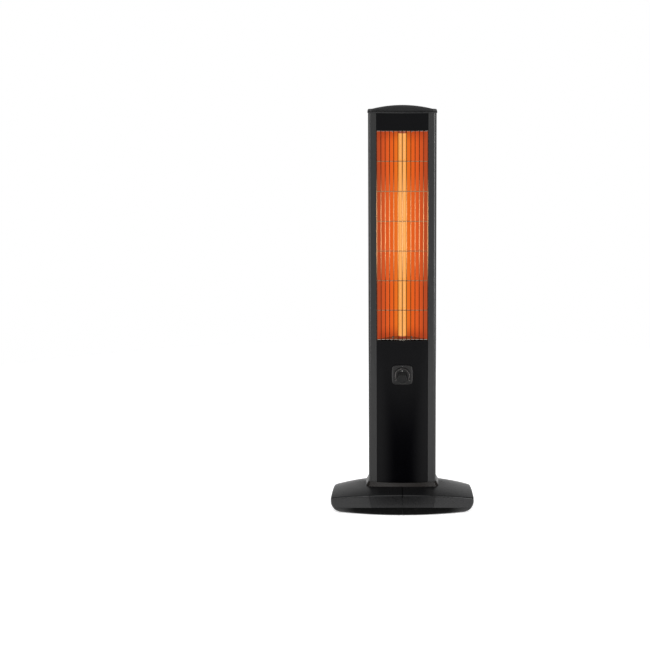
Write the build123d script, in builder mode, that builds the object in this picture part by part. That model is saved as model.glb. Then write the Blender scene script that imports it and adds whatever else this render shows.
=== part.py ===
"""Free-standing infrared patio heater: a black tower on a winged base.

Frame: +Z up, front towards -Y, origin on the floor at the middle of the base. Millimetres.
"""

import os
from math import cos, radians, sin, sqrt

from build123d import *

os.makedirs("parts", exist_ok=True)

# ---------------------------------------------------------------- driving sizes
total_height = 1000.0

base_width = 354.0
base_depth = 190.0
base_end_taper = 7.0
base_front_bow = 30.0
base_rear_bow = 35.0
base_corner_front = 9.0
base_corner_rear = 16.0
crown_height = 66.3
crown_side_drop = 22.3
crown_front_drop = 12.7
crown_sweep = 35.0
base_edge_radius = 4.5
base_wall = 2.5
seam_gap = 0.5
skirt_arch_height = 22.0
skirt_end_height = 12.0
hull_tuck_front = 7.0
hull_tuck_side = 25.0
hull_rise = 30.0
hull_floor_gap = 1.5
crease_width = 1.0
crease_depth = 0.8
crease_spread_top = 87.0
crease_spread_bottom = 76.0

column_width = 166.0
column_depth = 100.0
column_setback = 52.0
column_front_bow = 16.4
column_rear_bow = 6.0
column_front_corner = 9.0
column_rear_corner = 12.0
rail_width = 20.0
profile_wall = 1.8
groove_depth = 4.6
port_radius = 4.0
port_hole_radius = 1.9
port_merge = 0.4
port_slot = 1.4
port_inset_front = 28.0
port_inset_rear = 16.0

panel_thickness = 2.5
panel_recess = 1.2
panel_boss = 2.3
rear_sheet = 1.2
upper_panel_height = 42.0
opening_height = 513.4

cap_height = 16.0
cap_rim = 4.0
cap_overhang = 1.5
cap_dome_inset = 8.0
cap_side_drop = 9.5
cap_front_drop = 5.0
cap_wall = 2.5
cap_edge_radius = 2.5
hook_width = 10.0
hook_thickness = 2.4
hook_barb = 1.5
hook_reach = 4.0
hook_spread = 38.0
hook_inset = 26.0
top_plate_drop = 7.0
top_plate_front_gap = 6.0
top_plate_rear_gap = 14.0

wire_upright_radius = 1.0
wire_cross_radius = 1.1
upright_count = 13
cross_count = 8
weld_depth = 0.3

lamp_radius = 10.0
lamp_wall = 1.2
lamp_centre_setback = 34.0
lamp_seat = 9.0
lamp_hole_gap = 1.0
reflector_focus = 21.0
reflector_facets = 5
mouth_setback = 16.0
trough_inset = 2.0
reflector_sheet = 0.8
reflector_flange = 4.5
shield_sheet = 0.8
shield_gap = 17.0
end_sheet = 1.2
end_flange = 12.0
plate_margin = 2.0
plate_screw_front = 14.0
plate_screw_rear = 6.0

ballast_thickness = 6.0
foot_radius = 11.0
foot_height = 6.0
foot_inset_x = 61.0
foot_inset_y = 51.0
foot_chamfer = 1.5
foot_peg_radius = 3.0
foot_peg_height = 3.0
foot_peg_lip = 0.8

dial_drop = 84.6
bezel_width = 51.0
bezel_height = 49.0
bezel_bulge = 2.0
bezel_corner = 8.0
bezel_rise = 4.6
bezel_edge = 1.2
dish_depth = 2.2
knob_radius = 18.5
knob_skirt = 8.0
knob_grip = 10.0
knob_gap = 1.0
knob_draft = 0.4
knob_edge_depth = 2.5
knob_edge_round = 3.2
shaft_radius = 3.0
bush_radius = 5.0
regulator_width = 42.0
regulator_depth = 24.0
regulator_corner = 3.0

gland_height = 37.0
gland_radius = 7.0
gland_bore = 4.0
gland_lip = 1.2
gland_lip_gap = 0.3
gland_flange = 2.0
gland_clip = 1.5
gland_clip_height = 2.0
gland_clip_gap = 3.0

plunger_radius = 3.2
plunger_travel = 6.0
plunger_flange = 4.8
spring_wire = 0.35
spring_turns = 7

seat_clearance = 0.1
slide_clearance = 0.25
slot_clearance = 0.5
running_clearance = 0.05
hole_clearance = 0.2
cut_reach = 1.0

# ---------------------------------------------------------------- derived places
base_front_y = -(base_depth + gland_lip) / 2
base_rear_y = base_front_y + base_depth
column_front_y = base_front_y + column_setback
column_rear_y = column_front_y + column_depth
half_column = column_width / 2
half_opening = half_column - rail_width
ballast_bottom = foot_height
column_bottom = ballast_bottom + ballast_thickness
column_top = total_height - cap_height
column_length = column_top - column_bottom
opening_top = column_top - upper_panel_height
opening_bottom = opening_top - opening_height
dial_height = opening_bottom - dial_drop


def bow_radius(half_chord, sagitta):
    """Radius of the arc that rises by the sagitta over the chord."""
    return (half_chord**2 + sagitta**2) / (2 * sagitta)


front_radius = bow_radius(half_column, column_front_bow)
front_centre_y = column_front_y + front_radius
rear_radius = bow_radius(half_column, column_rear_bow)
rear_centre_y = column_rear_y - rear_radius

crown_side_radius = bow_radius(base_width / 2, crown_side_drop)
crown_front_radius = bow_radius(base_depth / 2, crown_front_drop)


def bow_y(radius, x):
    """Depth of a front arc of some radius at a distance from the middle."""
    return front_centre_y - sqrt(radius**2 - x**2)


cross_half = half_opening + groove_depth / 2
groove_outer = front_radius - panel_recess
groove_inner = groove_outer - panel_thickness
guard_y = (bow_y(groove_outer, cross_half) + bow_y(groove_inner, half_opening)) / 2
upright_y = guard_y - wire_cross_radius - wire_upright_radius + weld_depth
guard_bottom = opening_bottom + wire_cross_radius + seat_clearance
guard_top = opening_top - wire_cross_radius - seat_clearance

lamp_y = column_front_y + lamp_centre_setback
trough_back_y = lamp_y + reflector_focus
mouth_y = column_front_y + mouth_setback
shield_back_y = trough_back_y + shield_gap
web_clear = half_opening - seat_clearance
trough_bottom = opening_bottom + trough_inset
trough_top = opening_top - trough_inset

panel_front_y = column_front_y + panel_recess
boss_face_y = panel_front_y + panel_thickness + panel_boss
bezel_front_y = panel_front_y - bezel_rise
dish_floor_y = bezel_front_y + dish_depth
knob_back_y = dish_floor_y - knob_gap
knob_front_y = knob_back_y - knob_skirt - knob_grip
regulator_rear_y = boss_face_y + regulator_depth


# ---------------------------------------------------------------- shared outlines
def column_outline(grow=0.0):
    """The tower's plan: bowed front and rear, straight sides, round corners."""
    with BuildSketch() as outline:
        with BuildLine():
            front = ThreePointArc(
                (-half_column, column_front_y + column_front_bow),
                (0, column_front_y),
                (half_column, column_front_y + column_front_bow),
            )
            rear = ThreePointArc(
                (half_column, column_rear_y - column_rear_bow),
                (0, column_rear_y),
                (-half_column, column_rear_y - column_rear_bow),
            )
            Line(front @ 1, rear @ 0)
            Line(rear @ 1, front @ 0)
        make_face()
        corners = outline.vertices().group_by(Axis.Y)
        fillet(corners[0], column_front_corner)
        fillet(outline.vertices().group_by(Axis.Y)[-1], column_rear_corner)
        if grow:
            offset(amount=grow, kind=Kind.INTERSECTION)
    return outline.sketch_local


def base_outline(grow_side=0.0, grow_depth=0.0):
    """The base's plan: a bowed front and rear between two slightly tapered ends."""
    front_half = base_width / 2 + grow_side
    rear_half = front_half - base_end_taper
    front_y = base_front_y - grow_depth
    rear_y = base_rear_y + grow_depth
    with BuildSketch() as outline:
        with BuildLine():
            front = ThreePointArc(
                (-front_half, front_y + base_front_bow),
                (0, front_y),
                (front_half, front_y + base_front_bow),
            )
            rear = ThreePointArc(
                (rear_half, rear_y - base_rear_bow),
                (0, rear_y),
                (-rear_half, rear_y - base_rear_bow),
            )
            Line(front @ 1, rear @ 0)
            Line(rear @ 1, front @ 0)
        make_face()
        fillet(outline.vertices().group_by(Axis.Y)[0], base_corner_front)
        fillet(outline.vertices().group_by(Axis.Y)[-1], base_corner_rear)
    return outline.sketch_local


def crown(top, side_radius, front_radius, reach):
    """A slab whose top is a shallow crown, falling to the sides and to front and rear."""
    centre = (0, 0, top - side_radius)
    start = Plane(centre, x_dir=(0, 1, 0), z_dir=(1, 0, 0)).rotated((0, -crown_sweep, 0))
    fall = reach**2 / (2 * front_radius)
    end_rise = side_radius - fall
    with BuildPart() as slab:
        with BuildSketch(start):
            with BuildLine():
                bow = Bezier((-reach, end_rise), (0, side_radius + fall), (reach, end_rise))
                Polyline(bow @ 1, (reach, end_rise - reach), (-reach, end_rise - reach), bow @ 0)
            make_face()
        revolve(axis=Axis(centre, (0, 1, 0)), revolution_arc=2 * crown_sweep)
    return slab.part


def bow_sheet(centre_y, outer, thickness, half_width):
    """Plan of a sheet bent to the radius of the column's front (or rear) face."""
    reach = 4 * thickness + column_front_bow + column_rear_bow
    side = -1 if centre_y > column_front_y + column_depth / 2 else 1
    with BuildSketch() as band:
        with Locations((0, centre_y)):
            Circle(outer)
            Circle(outer - thickness, mode=Mode.SUBTRACT)
        with Locations((0, centre_y + side * outer)):
            Rectangle(2 * half_width, 2 * reach, mode=Mode.INTERSECT)
    return band.sketch_local


screw_head_spread = 1.9
screw_head_rise = 1.2
screw_head_round = 0.3


def pan_screw(shank_radius, length):
    """Pan-head screw on +Z, with the head's underside at the origin and the shank below."""
    head_radius = screw_head_spread * shank_radius
    head_height = screw_head_rise * shank_radius
    with BuildPart() as screw:
        with BuildSketch(Plane.XY):
            Circle(head_radius)
        extrude(amount=head_height)
        fillet(screw.edges().group_by(Axis.Z)[-1], screw_head_round * head_height)
        with BuildSketch(Plane.XY.offset(-length)):
            Circle(shank_radius)
        extrude(amount=length)
    return screw.part


def finish(builder, name):
    """Label a finished piece and write it."""
    builder.part.label = name
    export_step(builder.part, f"parts/{name}.step")


# ---------------------------------------------------------------- column: side profiles
frame_screw_radius = 1.9
frame_screw_length = 8.0
frame_screw_y = (mouth_y + plate_screw_front, shield_back_y - plate_screw_rear)
top_plate_z = column_top - top_plate_drop
frame_screw_z = (
    trough_bottom - end_flange / 2,
    trough_top + end_flange / 2,
    top_plate_z - end_flange / 2,
)
port_y = (column_front_y + port_inset_front, column_rear_y - port_inset_rear)
port_x = half_column - profile_wall - port_radius + port_merge
groove_reach = half_opening + groove_depth


def groove_band(rear=False, grow=0.0):
    """The groove that holds the panels and the guard, or the rear cover."""
    if rear:
        outer = rear_radius - panel_recess + grow
        return bow_sheet(rear_centre_y, outer, rear_sheet + 2 * grow, groove_reach + grow)
    outer = front_radius - panel_recess + grow
    return bow_sheet(front_centre_y, outer, panel_thickness + 2 * grow, groove_reach + grow)


section_plane = Plane.XY.offset(column_bottom)
with BuildPart() as side_profile_right:
    with BuildSketch(section_plane):
        add(column_outline())
        with Locations((half_opening + column_width / 2, 0)):
            Rectangle(column_width, 3 * column_depth, mode=Mode.INTERSECT)
    extrude(amount=column_length)
    with BuildSketch(section_plane):
        add(column_outline(-profile_wall))
        with Locations((half_opening + profile_wall + column_width / 2, 0)):
            Rectangle(column_width, 3 * column_depth, mode=Mode.INTERSECT)
        add(groove_band(grow=slide_clearance + profile_wall), mode=Mode.SUBTRACT)
        add(groove_band(rear=True, grow=slide_clearance + profile_wall), mode=Mode.SUBTRACT)
        for y in port_y:
            with Locations((port_x, y)):
                Circle(port_radius, mode=Mode.SUBTRACT)
    extrude(amount=column_length, mode=Mode.SUBTRACT)
    with BuildSketch(section_plane):
        add(groove_band(grow=slide_clearance))
        add(groove_band(rear=True, grow=slide_clearance))
        for y in port_y:
            with Locations((port_x, y)):
                Circle(port_hole_radius)
            with Locations((port_x - port_radius / 2, y)):
                Rectangle(port_radius + cut_reach, port_slot)
    extrude(amount=column_length, mode=Mode.SUBTRACT)
    for z in frame_screw_z:
        for y in frame_screw_y:
            with BuildSketch(Plane.YZ.offset(half_opening - cut_reach)):
                with Locations((y, z)):
                    Circle(frame_screw_radius + running_clearance)
            extrude(amount=profile_wall + 2 * cut_reach, mode=Mode.SUBTRACT)

with BuildPart() as side_profile_left:
    mirror(side_profile_right.part, about=Plane.YZ)

finish(side_profile_right, "side_profile_right")
finish(side_profile_left, "side_profile_left")


# ---------------------------------------------------------------- column: panels
def front_panel(bottom, top):
    """One bowed front panel, held in the grooves of both profiles."""
    plane = Plane.XY.offset(bottom)
    with BuildPart() as panel:
        with BuildSketch(plane):
            add(groove_band())
        extrude(amount=top - bottom)
    return panel.part


boss_radius = 13.5
with BuildPart() as lower_front_panel:
    add(front_panel(column_bottom, opening_bottom))
    with BuildSketch(Plane.XZ.offset(-boss_face_y)):
        with Locations((0, dial_height)):
            Circle(boss_radius)
    extrude(amount=boss_face_y - panel_front_y - panel_thickness / 2)
    with BuildSketch(Plane.XZ.offset(-boss_face_y)):
        with Locations((0, dial_height)):
            Circle(bush_radius + seat_clearance)
    extrude(amount=boss_face_y - panel_front_y + cut_reach, mode=Mode.SUBTRACT)
finish(lower_front_panel, "lower_front_panel")

with BuildPart() as upper_front_panel:
    add(front_panel(opening_top, column_top))
finish(upper_front_panel, "upper_front_panel")

vent_width = 26.0
vent_height = 4.0
vent_pitch_x = 36.0
vent_pitch_z = 12.0
vent_columns = 3
vent_rows = 9
vent_inset = 70.0
with BuildPart() as rear_cover:
    with BuildSketch(section_plane):
        add(groove_band(rear=True))
    extrude(amount=column_length)
    for middle in (trough_bottom + vent_inset, trough_top - vent_inset):
        with BuildSketch(Plane.XZ.offset(-column_rear_y)):
            with Locations((0, middle)):
                with GridLocations(vent_pitch_x, vent_pitch_z, vent_columns, vent_rows):
                    SlotOverall(vent_width, vent_height)
        extrude(amount=4 * rear_sheet + column_rear_bow, mode=Mode.SUBTRACT)
finish(rear_cover, "rear_cover")

# ---------------------------------------------------------------- column: cap and top plate
dome_side_radius = bow_radius(half_column - cap_dome_inset, cap_side_drop)
dome_front_radius = bow_radius(column_depth / 2 - cap_dome_inset, cap_front_drop)
column_middle_y = (column_front_y + column_rear_y) / 2


def cap_crown(top):
    """The cap's crown, centred over the column."""
    slab = crown(top, dome_side_radius, dome_front_radius, column_depth)
    return slab.moved(Location((0, column_middle_y, 0)))


def dome_z(x, y):
    """Height of the cap's crown over a point."""
    side_fall = x**2 / (2 * dome_side_radius)
    return total_height - side_fall - (y - column_middle_y) ** 2 / (2 * dome_front_radius)


hook_y = (column_front_y + hook_inset, column_rear_y - hook_inset)
hook_spots = [(x, y) for x in (-hook_spread, hook_spread) for y in hook_y]
hook_tip_z = top_plate_z - end_sheet - hook_reach
outer_crown = cap_crown(total_height)
inner_crown = cap_crown(total_height - cap_wall)
with BuildPart() as dome_core:
    with BuildSketch(Plane.XY.offset(column_top)):
        add(column_outline(-cap_dome_inset - cap_wall))
    extrude(amount=2 * cap_height)
    add(inner_crown, mode=Mode.INTERSECT)

with BuildPart() as top_cap:
    with BuildSketch(Plane.XY.offset(column_top)):
        add(column_outline(-cap_dome_inset))
    extrude(amount=2 * cap_height)
    add(outer_crown, mode=Mode.INTERSECT)
    with BuildPart(mode=Mode.PRIVATE) as rim:
        with BuildSketch(Plane.XY.offset(column_top)):
            add(column_outline(cap_overhang))
        extrude(amount=cap_rim)
        fillet(rim.faces().sort_by(Axis.Z)[-1].edges(), cap_edge_radius)
    add(rim.part)
    add(dome_core.part, mode=Mode.SUBTRACT)
    for x, y in hook_spots:
        with BuildSketch(Plane.XY.offset(hook_tip_z)):
            with Locations((x, y)):
                Rectangle(hook_width, hook_thickness)
        extrude(amount=dome_z(x, y) - cap_wall / 2 - hook_tip_z)
        with BuildSketch(Plane.YZ.offset(x - hook_width / 2)):
            side = 1 if y > column_middle_y else -1
            face_y = y + side * hook_thickness / 2
            with BuildLine():
                Polyline(
                    (face_y, hook_tip_z),
                    (face_y + side * hook_barb, top_plate_z - end_sheet - seat_clearance),
                    (face_y, top_plate_z - end_sheet - seat_clearance),
                    close=True,
                )
            make_face()
        extrude(amount=hook_width)
finish(top_cap, "top_cap")


def flanged_plate(z, up, front_y, rear_y):
    """A sheet across the column with a screw flange along each profile."""
    side = 1 if up else -1
    depth = rear_y - front_y
    with BuildPart() as plate:
        with BuildSketch(Plane.XY.offset(z)):
            with Locations((0, (front_y + rear_y) / 2)):
                Rectangle(2 * web_clear, depth)
        extrude(amount=side * end_sheet)
        for x in (-1, 1):
            with BuildSketch(Plane.XY.offset(z)):
                with Locations((x * (web_clear - end_sheet / 2), (front_y + rear_y) / 2)):
                    Rectangle(end_sheet, depth)
            extrude(amount=side * end_flange)
        screw_z = z + side * end_flange / 2
        for y in frame_screw_y:
            with BuildSketch(Plane.YZ.offset(-half_column)):
                with Locations((y, screw_z)):
                    Circle(frame_screw_radius + running_clearance)
            extrude(amount=column_width, mode=Mode.SUBTRACT)
    return plate.part


with BuildPart() as top_plate:
    add(flanged_plate(top_plate_z, False, guard_y + top_plate_front_gap, column_rear_y - top_plate_rear_gap))
    for x, y in hook_spots:
        side = 1 if y > column_middle_y else -1
        slot_y = y + side * hook_barb / 2
        with BuildSketch(Plane.XY.offset(top_plate_z - end_sheet)):
            with Locations((x, slot_y)):
                Rectangle(hook_width + 2 * slot_clearance, hook_thickness + hook_barb + 2 * slot_clearance)
        extrude(amount=end_sheet, mode=Mode.SUBTRACT)
finish(top_plate, "top_plate")

# ---------------------------------------------------------------- guard
with BuildPart() as wire_guard:
    upright_span = half_opening - wire_upright_radius - seat_clearance
    upright_pitch = 2 * upright_span / (upright_count - 1)
    cross_pitch = (guard_top - guard_bottom) / (cross_count - 1)
    with BuildSketch(Plane.XY.offset(guard_bottom - wire_cross_radius)):
        with Locations((0, upright_y)):
            with GridLocations(upright_pitch, 1, upright_count, 1):
                Circle(wire_upright_radius)
    extrude(amount=guard_top - guard_bottom + 2 * wire_cross_radius)
    with BuildSketch(Plane.YZ.offset(-cross_half)):
        with Locations((guard_y, (guard_bottom + guard_top) / 2)):
            with GridLocations(1, cross_pitch, 1, cross_count):
                Circle(wire_cross_radius)
    extrude(amount=2 * cross_half)
finish(wire_guard, "wire_guard")

# ---------------------------------------------------------------- reflector and heat shield
mouth_half = sqrt(4 * reflector_focus * (trough_back_y - mouth_y))


def trough_points():
    """Facet corners on the parabola whose focus is the lamp, from one mouth to the other."""
    steps = range(-reflector_facets, reflector_facets + 1)
    xs = [mouth_half * step / reflector_facets for step in steps]
    return [(x, trough_back_y - x**2 / (4 * reflector_focus)) for x in xs]


with BuildPart() as reflector:
    with BuildSketch(Plane.XY.offset(trough_bottom + seat_clearance)):
        with BuildLine():
            Polyline(
                (-mouth_half - reflector_flange, mouth_y),
                *trough_points(),
                (mouth_half + reflector_flange, mouth_y),
            )
            offset(amount=reflector_sheet, side=Side.LEFT)
        make_face()
    extrude(amount=trough_top - trough_bottom - 2 * seat_clearance)
finish(reflector, "reflector")

shield_half = mouth_half + reflector_flange / 2
with BuildPart() as heat_shield:
    with BuildSketch(Plane.XY.offset(trough_bottom + seat_clearance)):
        with BuildLine():
            Polyline(
                (-shield_half, mouth_y + reflector_sheet + seat_clearance),
                (-shield_half, shield_back_y),
                (shield_half, shield_back_y),
                (shield_half, mouth_y + reflector_sheet + seat_clearance),
            )
            offset(amount=shield_sheet, side=Side.RIGHT)
        make_face()
    extrude(amount=trough_top - trough_bottom - 2 * seat_clearance)
finish(heat_shield, "heat_shield")

socket_wall = 5.0
socket_radius = lamp_radius + socket_wall
socket_length = 20.0
lug_offset = 8.0
lug_width = 10.0
lug_thickness = 5.0
socket_lug = socket_radius + lug_offset
socket_screw_radius = 1.5


def end_plate(z, up):
    """A reflector end plate, holed for the lamp and for the socket's screws."""
    with BuildPart() as plate:
        add(flanged_plate(z, up, mouth_y, shield_back_y + plate_margin))
        with BuildSketch(Plane.XY.offset(z - end_sheet)):
            with Locations((0, lamp_y)):
                Circle(lamp_radius + lamp_hole_gap)
            for x in (-1, 1):
                with Locations((x * socket_lug, lamp_y)):
                    Circle(socket_screw_radius + running_clearance)
        extrude(amount=2 * end_sheet, mode=Mode.SUBTRACT)
    return plate.part


with BuildPart() as end_plate_lower:
    add(end_plate(trough_bottom, False))
finish(end_plate_lower, "end_plate_lower")

with BuildPart() as end_plate_upper:
    add(end_plate(trough_top, True))
finish(end_plate_upper, "end_plate_upper")

# ---------------------------------------------------------------- lamp
lamp_bottom = trough_bottom - end_sheet - lamp_seat
lamp_top = trough_top + end_sheet + lamp_seat
filament_radius = 1.6
support_count = 12
support_thickness = 0.6
pin_radius = 2.0
pin_length = 8.0

with BuildPart() as quartz_tube:
    with BuildSketch(Plane.XY.offset(lamp_bottom)):
        with Locations((0, lamp_y)):
            Circle(lamp_radius)
    extrude(amount=lamp_top - lamp_bottom)
    with BuildSketch(Plane.XY.offset(lamp_bottom + 2 * lamp_wall)):
        with Locations((0, lamp_y)):
            Circle(lamp_radius - lamp_wall)
    extrude(amount=lamp_top - lamp_bottom - 4 * lamp_wall, mode=Mode.SUBTRACT)
finish(quartz_tube, "quartz_tube")

with BuildPart() as filament:
    filament_length = lamp_top - lamp_bottom - 4 * lamp_wall - 2 * seat_clearance
    filament_bottom = lamp_bottom + 2 * lamp_wall + seat_clearance
    with BuildSketch(Plane.XY.offset(filament_bottom)):
        with Locations((0, lamp_y)):
            Circle(filament_radius)
    extrude(amount=filament_length)
    for index in range(support_count):
        disc_z = filament_bottom + filament_length * (index + 0.5) / support_count
        with BuildSketch(Plane.XY.offset(disc_z)):
            with Locations((0, lamp_y)):
                Circle(lamp_radius - lamp_wall - slide_clearance)
        extrude(amount=support_thickness)
finish(filament, "filament")


def lamp_socket(face_z, up):
    """Ceramic socket on the far side of an end plate: a cup with two screw lugs."""
    side = 1 if up else -1
    start = face_z + side * end_sheet
    with BuildPart() as socket:
        with BuildSketch(Plane.XY.offset(start)):
            with Locations((0, lamp_y)):
                Circle(socket_radius)
        extrude(amount=side * socket_length)
        with BuildSketch(Plane.XY.offset(start)):
            with Locations((0, lamp_y)):
                SlotOverall(2 * socket_lug + lug_width, lug_width)
        extrude(amount=side * lug_thickness)
        with BuildSketch(Plane.XY.offset(start)):
            with Locations((0, lamp_y)):
                Circle(lamp_radius + seat_clearance)
        extrude(amount=side * lamp_seat, mode=Mode.SUBTRACT)
        with BuildSketch(Plane.XY.offset(start)):
            with Locations((0, lamp_y)):
                Circle(pin_radius)
            for x in (-1, 1):
                with Locations((x * socket_lug, lamp_y)):
                    Circle(socket_screw_radius + running_clearance)
        extrude(amount=side * socket_length, mode=Mode.SUBTRACT)
    return socket.part


with BuildPart() as lamp_socket_lower:
    add(lamp_socket(trough_bottom, False))
finish(lamp_socket_lower, "lamp_socket_lower")

with BuildPart() as lamp_socket_upper:
    add(lamp_socket(trough_top, True))
finish(lamp_socket_upper, "lamp_socket_upper")

socket_end_lower = trough_bottom - end_sheet - socket_length
socket_end_upper = trough_top + end_sheet + socket_length
pin_tip_lower = socket_end_lower - pin_length
pin_tip_upper = socket_end_upper + pin_length
with BuildPart() as terminal_pins:
    with BuildSketch(Plane.XY.offset(pin_tip_lower)):
        with Locations((0, lamp_y)):
            Circle(pin_radius)
    extrude(amount=lamp_bottom - pin_tip_lower)
    with BuildSketch(Plane.XY.offset(lamp_top)):
        with Locations((0, lamp_y)):
            Circle(pin_radius)
    extrude(amount=pin_tip_upper - lamp_top)
finish(terminal_pins, "terminal_pins")

socket_screw_length = 10.0
with BuildPart() as socket_screws:
    for face_z, direction in ((trough_bottom, -1), (trough_top, 1)):
        head_z = face_z + direction * (end_sheet + lug_thickness)
        for x in (-socket_lug, socket_lug):
            placed = Plane((x, lamp_y, head_z), x_dir=(1, 0, 0), z_dir=(0, 0, direction))
            add(placed.from_local_coords(pan_screw(socket_screw_radius, socket_screw_length)))
finish(socket_screws, "socket_screws")

with BuildPart() as frame_screws:
    for z in frame_screw_z:
        for y in frame_screw_y:
            for side in (-1, 1):
                start = (side * (web_clear - end_sheet), y, z)
                placed = Plane(start, x_dir=(0, 1, 0), z_dir=(-side, 0, 0))
                add(placed.from_local_coords(pan_screw(frame_screw_radius, frame_screw_length)))
finish(frame_screws, "frame_screws")

spade_width = 6.0
spade_sheet = 1.0
spade_length = 8.0
cutout_radius = 8.0
cutout_height = 5.0
cutout_drop = 60.0
cutout_pitch = 8.0
with BuildPart() as thermal_cutout:
    cutout_plane = Plane.XZ.offset(-(shield_back_y + shield_sheet + cutout_height))
    with BuildSketch(cutout_plane):
        with Locations((0, trough_top - cutout_drop)):
            Circle(cutout_radius)
    extrude(amount=cutout_height)
    with BuildSketch(cutout_plane):
        with Locations((0, trough_top - cutout_drop)):
            with GridLocations(cutout_pitch, 1, 2, 1):
                Rectangle(spade_sheet, spade_width)
    extrude(amount=-spade_length / 2)
finish(thermal_cutout, "thermal_cutout")


# ---------------------------------------------------------------- dial
def bezel_outline():
    """A square with bulging sides and round corners."""
    half_w = bezel_width / 2 - bezel_bulge
    half_h = bezel_height / 2 - bezel_bulge
    corners = [(-half_w, -half_h), (half_w, -half_h), (half_w, half_h), (-half_w, half_h)]
    bulges = [(0, -bezel_height / 2), (bezel_width / 2, 0), (0, bezel_height / 2), (-bezel_width / 2, 0)]
    with BuildSketch() as outline:
        with BuildLine():
            for index, bulge in enumerate(bulges):
                ThreePointArc(corners[index], bulge, corners[(index + 1) % 4])
        make_face()
        fillet(outline.vertices(), bezel_corner)
    return outline.sketch_local


bezel_plane = Plane((0, bezel_front_y, dial_height), x_dir=(1, 0, 0), z_dir=(0, -1, 0))
dish_radius = knob_radius + knob_gap
with BuildPart() as dial_bezel:
    with BuildSketch(bezel_plane):
        add(bezel_outline())
    extrude(amount=-(bow_y(front_radius - panel_recess, bezel_width / 2) - bezel_front_y))
    fillet(dial_bezel.faces().sort_by(Axis.Y)[0].edges(), bezel_edge)
    with BuildSketch(bezel_plane):
        Circle(dish_radius)
    extrude(amount=-dish_depth, mode=Mode.SUBTRACT)
    with BuildSketch(bezel_plane):
        Circle(bush_radius + seat_clearance)
    extrude(amount=-2 * bezel_rise, mode=Mode.SUBTRACT)
    with BuildSketch(Plane.XY.offset(dial_height - bezel_height)):
        with Locations((0, front_centre_y)):
            Circle(front_radius - panel_recess)
    extrude(amount=2 * bezel_height, mode=Mode.SUBTRACT)
finish(dial_bezel, "dial_bezel")

nut_height = 2.4
nut_wall = 2.6
bush_proud = 0.6
shaft_depth = 13.0
shaft_tip_inset = 4.0
shaft_step = 1.0
spade_pitch = 12.0
spade_rise = 10.0
shaft_inner_y = boss_face_y + shaft_depth
shaft_tip_y = knob_front_y + shaft_tip_inset
bush_tip_y = dish_floor_y - nut_height - bush_proud
with BuildPart() as power_regulator:
    with BuildSketch(Plane.XZ.offset(-boss_face_y)):
        with Locations((0, dial_height)):
            RectangleRounded(regulator_width, regulator_width, regulator_corner)
    extrude(amount=-regulator_depth)
    with BuildSketch(Plane.XZ.offset(-boss_face_y)):
        with Locations((0, dial_height)):
            Circle(bush_radius)
    extrude(amount=boss_face_y - bush_tip_y)
    with BuildSketch(Plane.XZ.offset(-bush_tip_y)):
        with Locations((0, dial_height)):
            Circle(shaft_radius + running_clearance)
    extrude(amount=bush_tip_y - shaft_inner_y, mode=Mode.SUBTRACT)
    with BuildSketch(Plane.XZ.offset(-regulator_rear_y)):
        with Locations((0, dial_height + spade_rise)):
            with GridLocations(spade_pitch, 1, 3, 1):
                Rectangle(spade_width, spade_sheet)
    extrude(amount=-spade_length)
finish(power_regulator, "power_regulator")

with BuildPart() as regulator_nut:
    with BuildSketch(Plane.XZ.offset(-dish_floor_y)):
        with Locations((0, dial_height)):
            RegularPolygon(bush_radius + nut_wall, 6)
            Circle(bush_radius + running_clearance, mode=Mode.SUBTRACT)
    extrude(amount=nut_height)
finish(regulator_nut, "regulator_nut")

shaft_flat = 0.8
pocket_gap = 1.4
knob_pocket = bush_radius + nut_wall + pocket_gap


def shaft_section(grow=0.0):
    """D-shaped section of the shaft, or of the knob's bore with some growth."""
    with BuildSketch() as section:
        Circle(shaft_radius + grow)
        with Locations((0, 2 * shaft_radius - shaft_flat + grow)):
            Rectangle(4 * shaft_radius, 2 * shaft_radius, mode=Mode.SUBTRACT)
    return section.sketch_local


shaft_plane = Plane((0, shaft_tip_y, dial_height), x_dir=(1, 0, 0), z_dir=(0, -1, 0))
knob_plane = Plane((0, knob_back_y, dial_height), x_dir=(1, 0, 0), z_dir=(0, -1, 0))
with BuildPart() as regulator_shaft:
    with BuildSketch(shaft_plane):
        add(shaft_section())
    extrude(amount=-(bush_tip_y - shaft_tip_y - shaft_step))
    with BuildSketch(Plane.XZ.offset(-(bush_tip_y - shaft_step))):
        with Locations((0, dial_height)):
            Circle(shaft_radius)
    extrude(amount=-(shaft_inner_y - bush_tip_y))
finish(regulator_shaft, "regulator_shaft")

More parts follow.
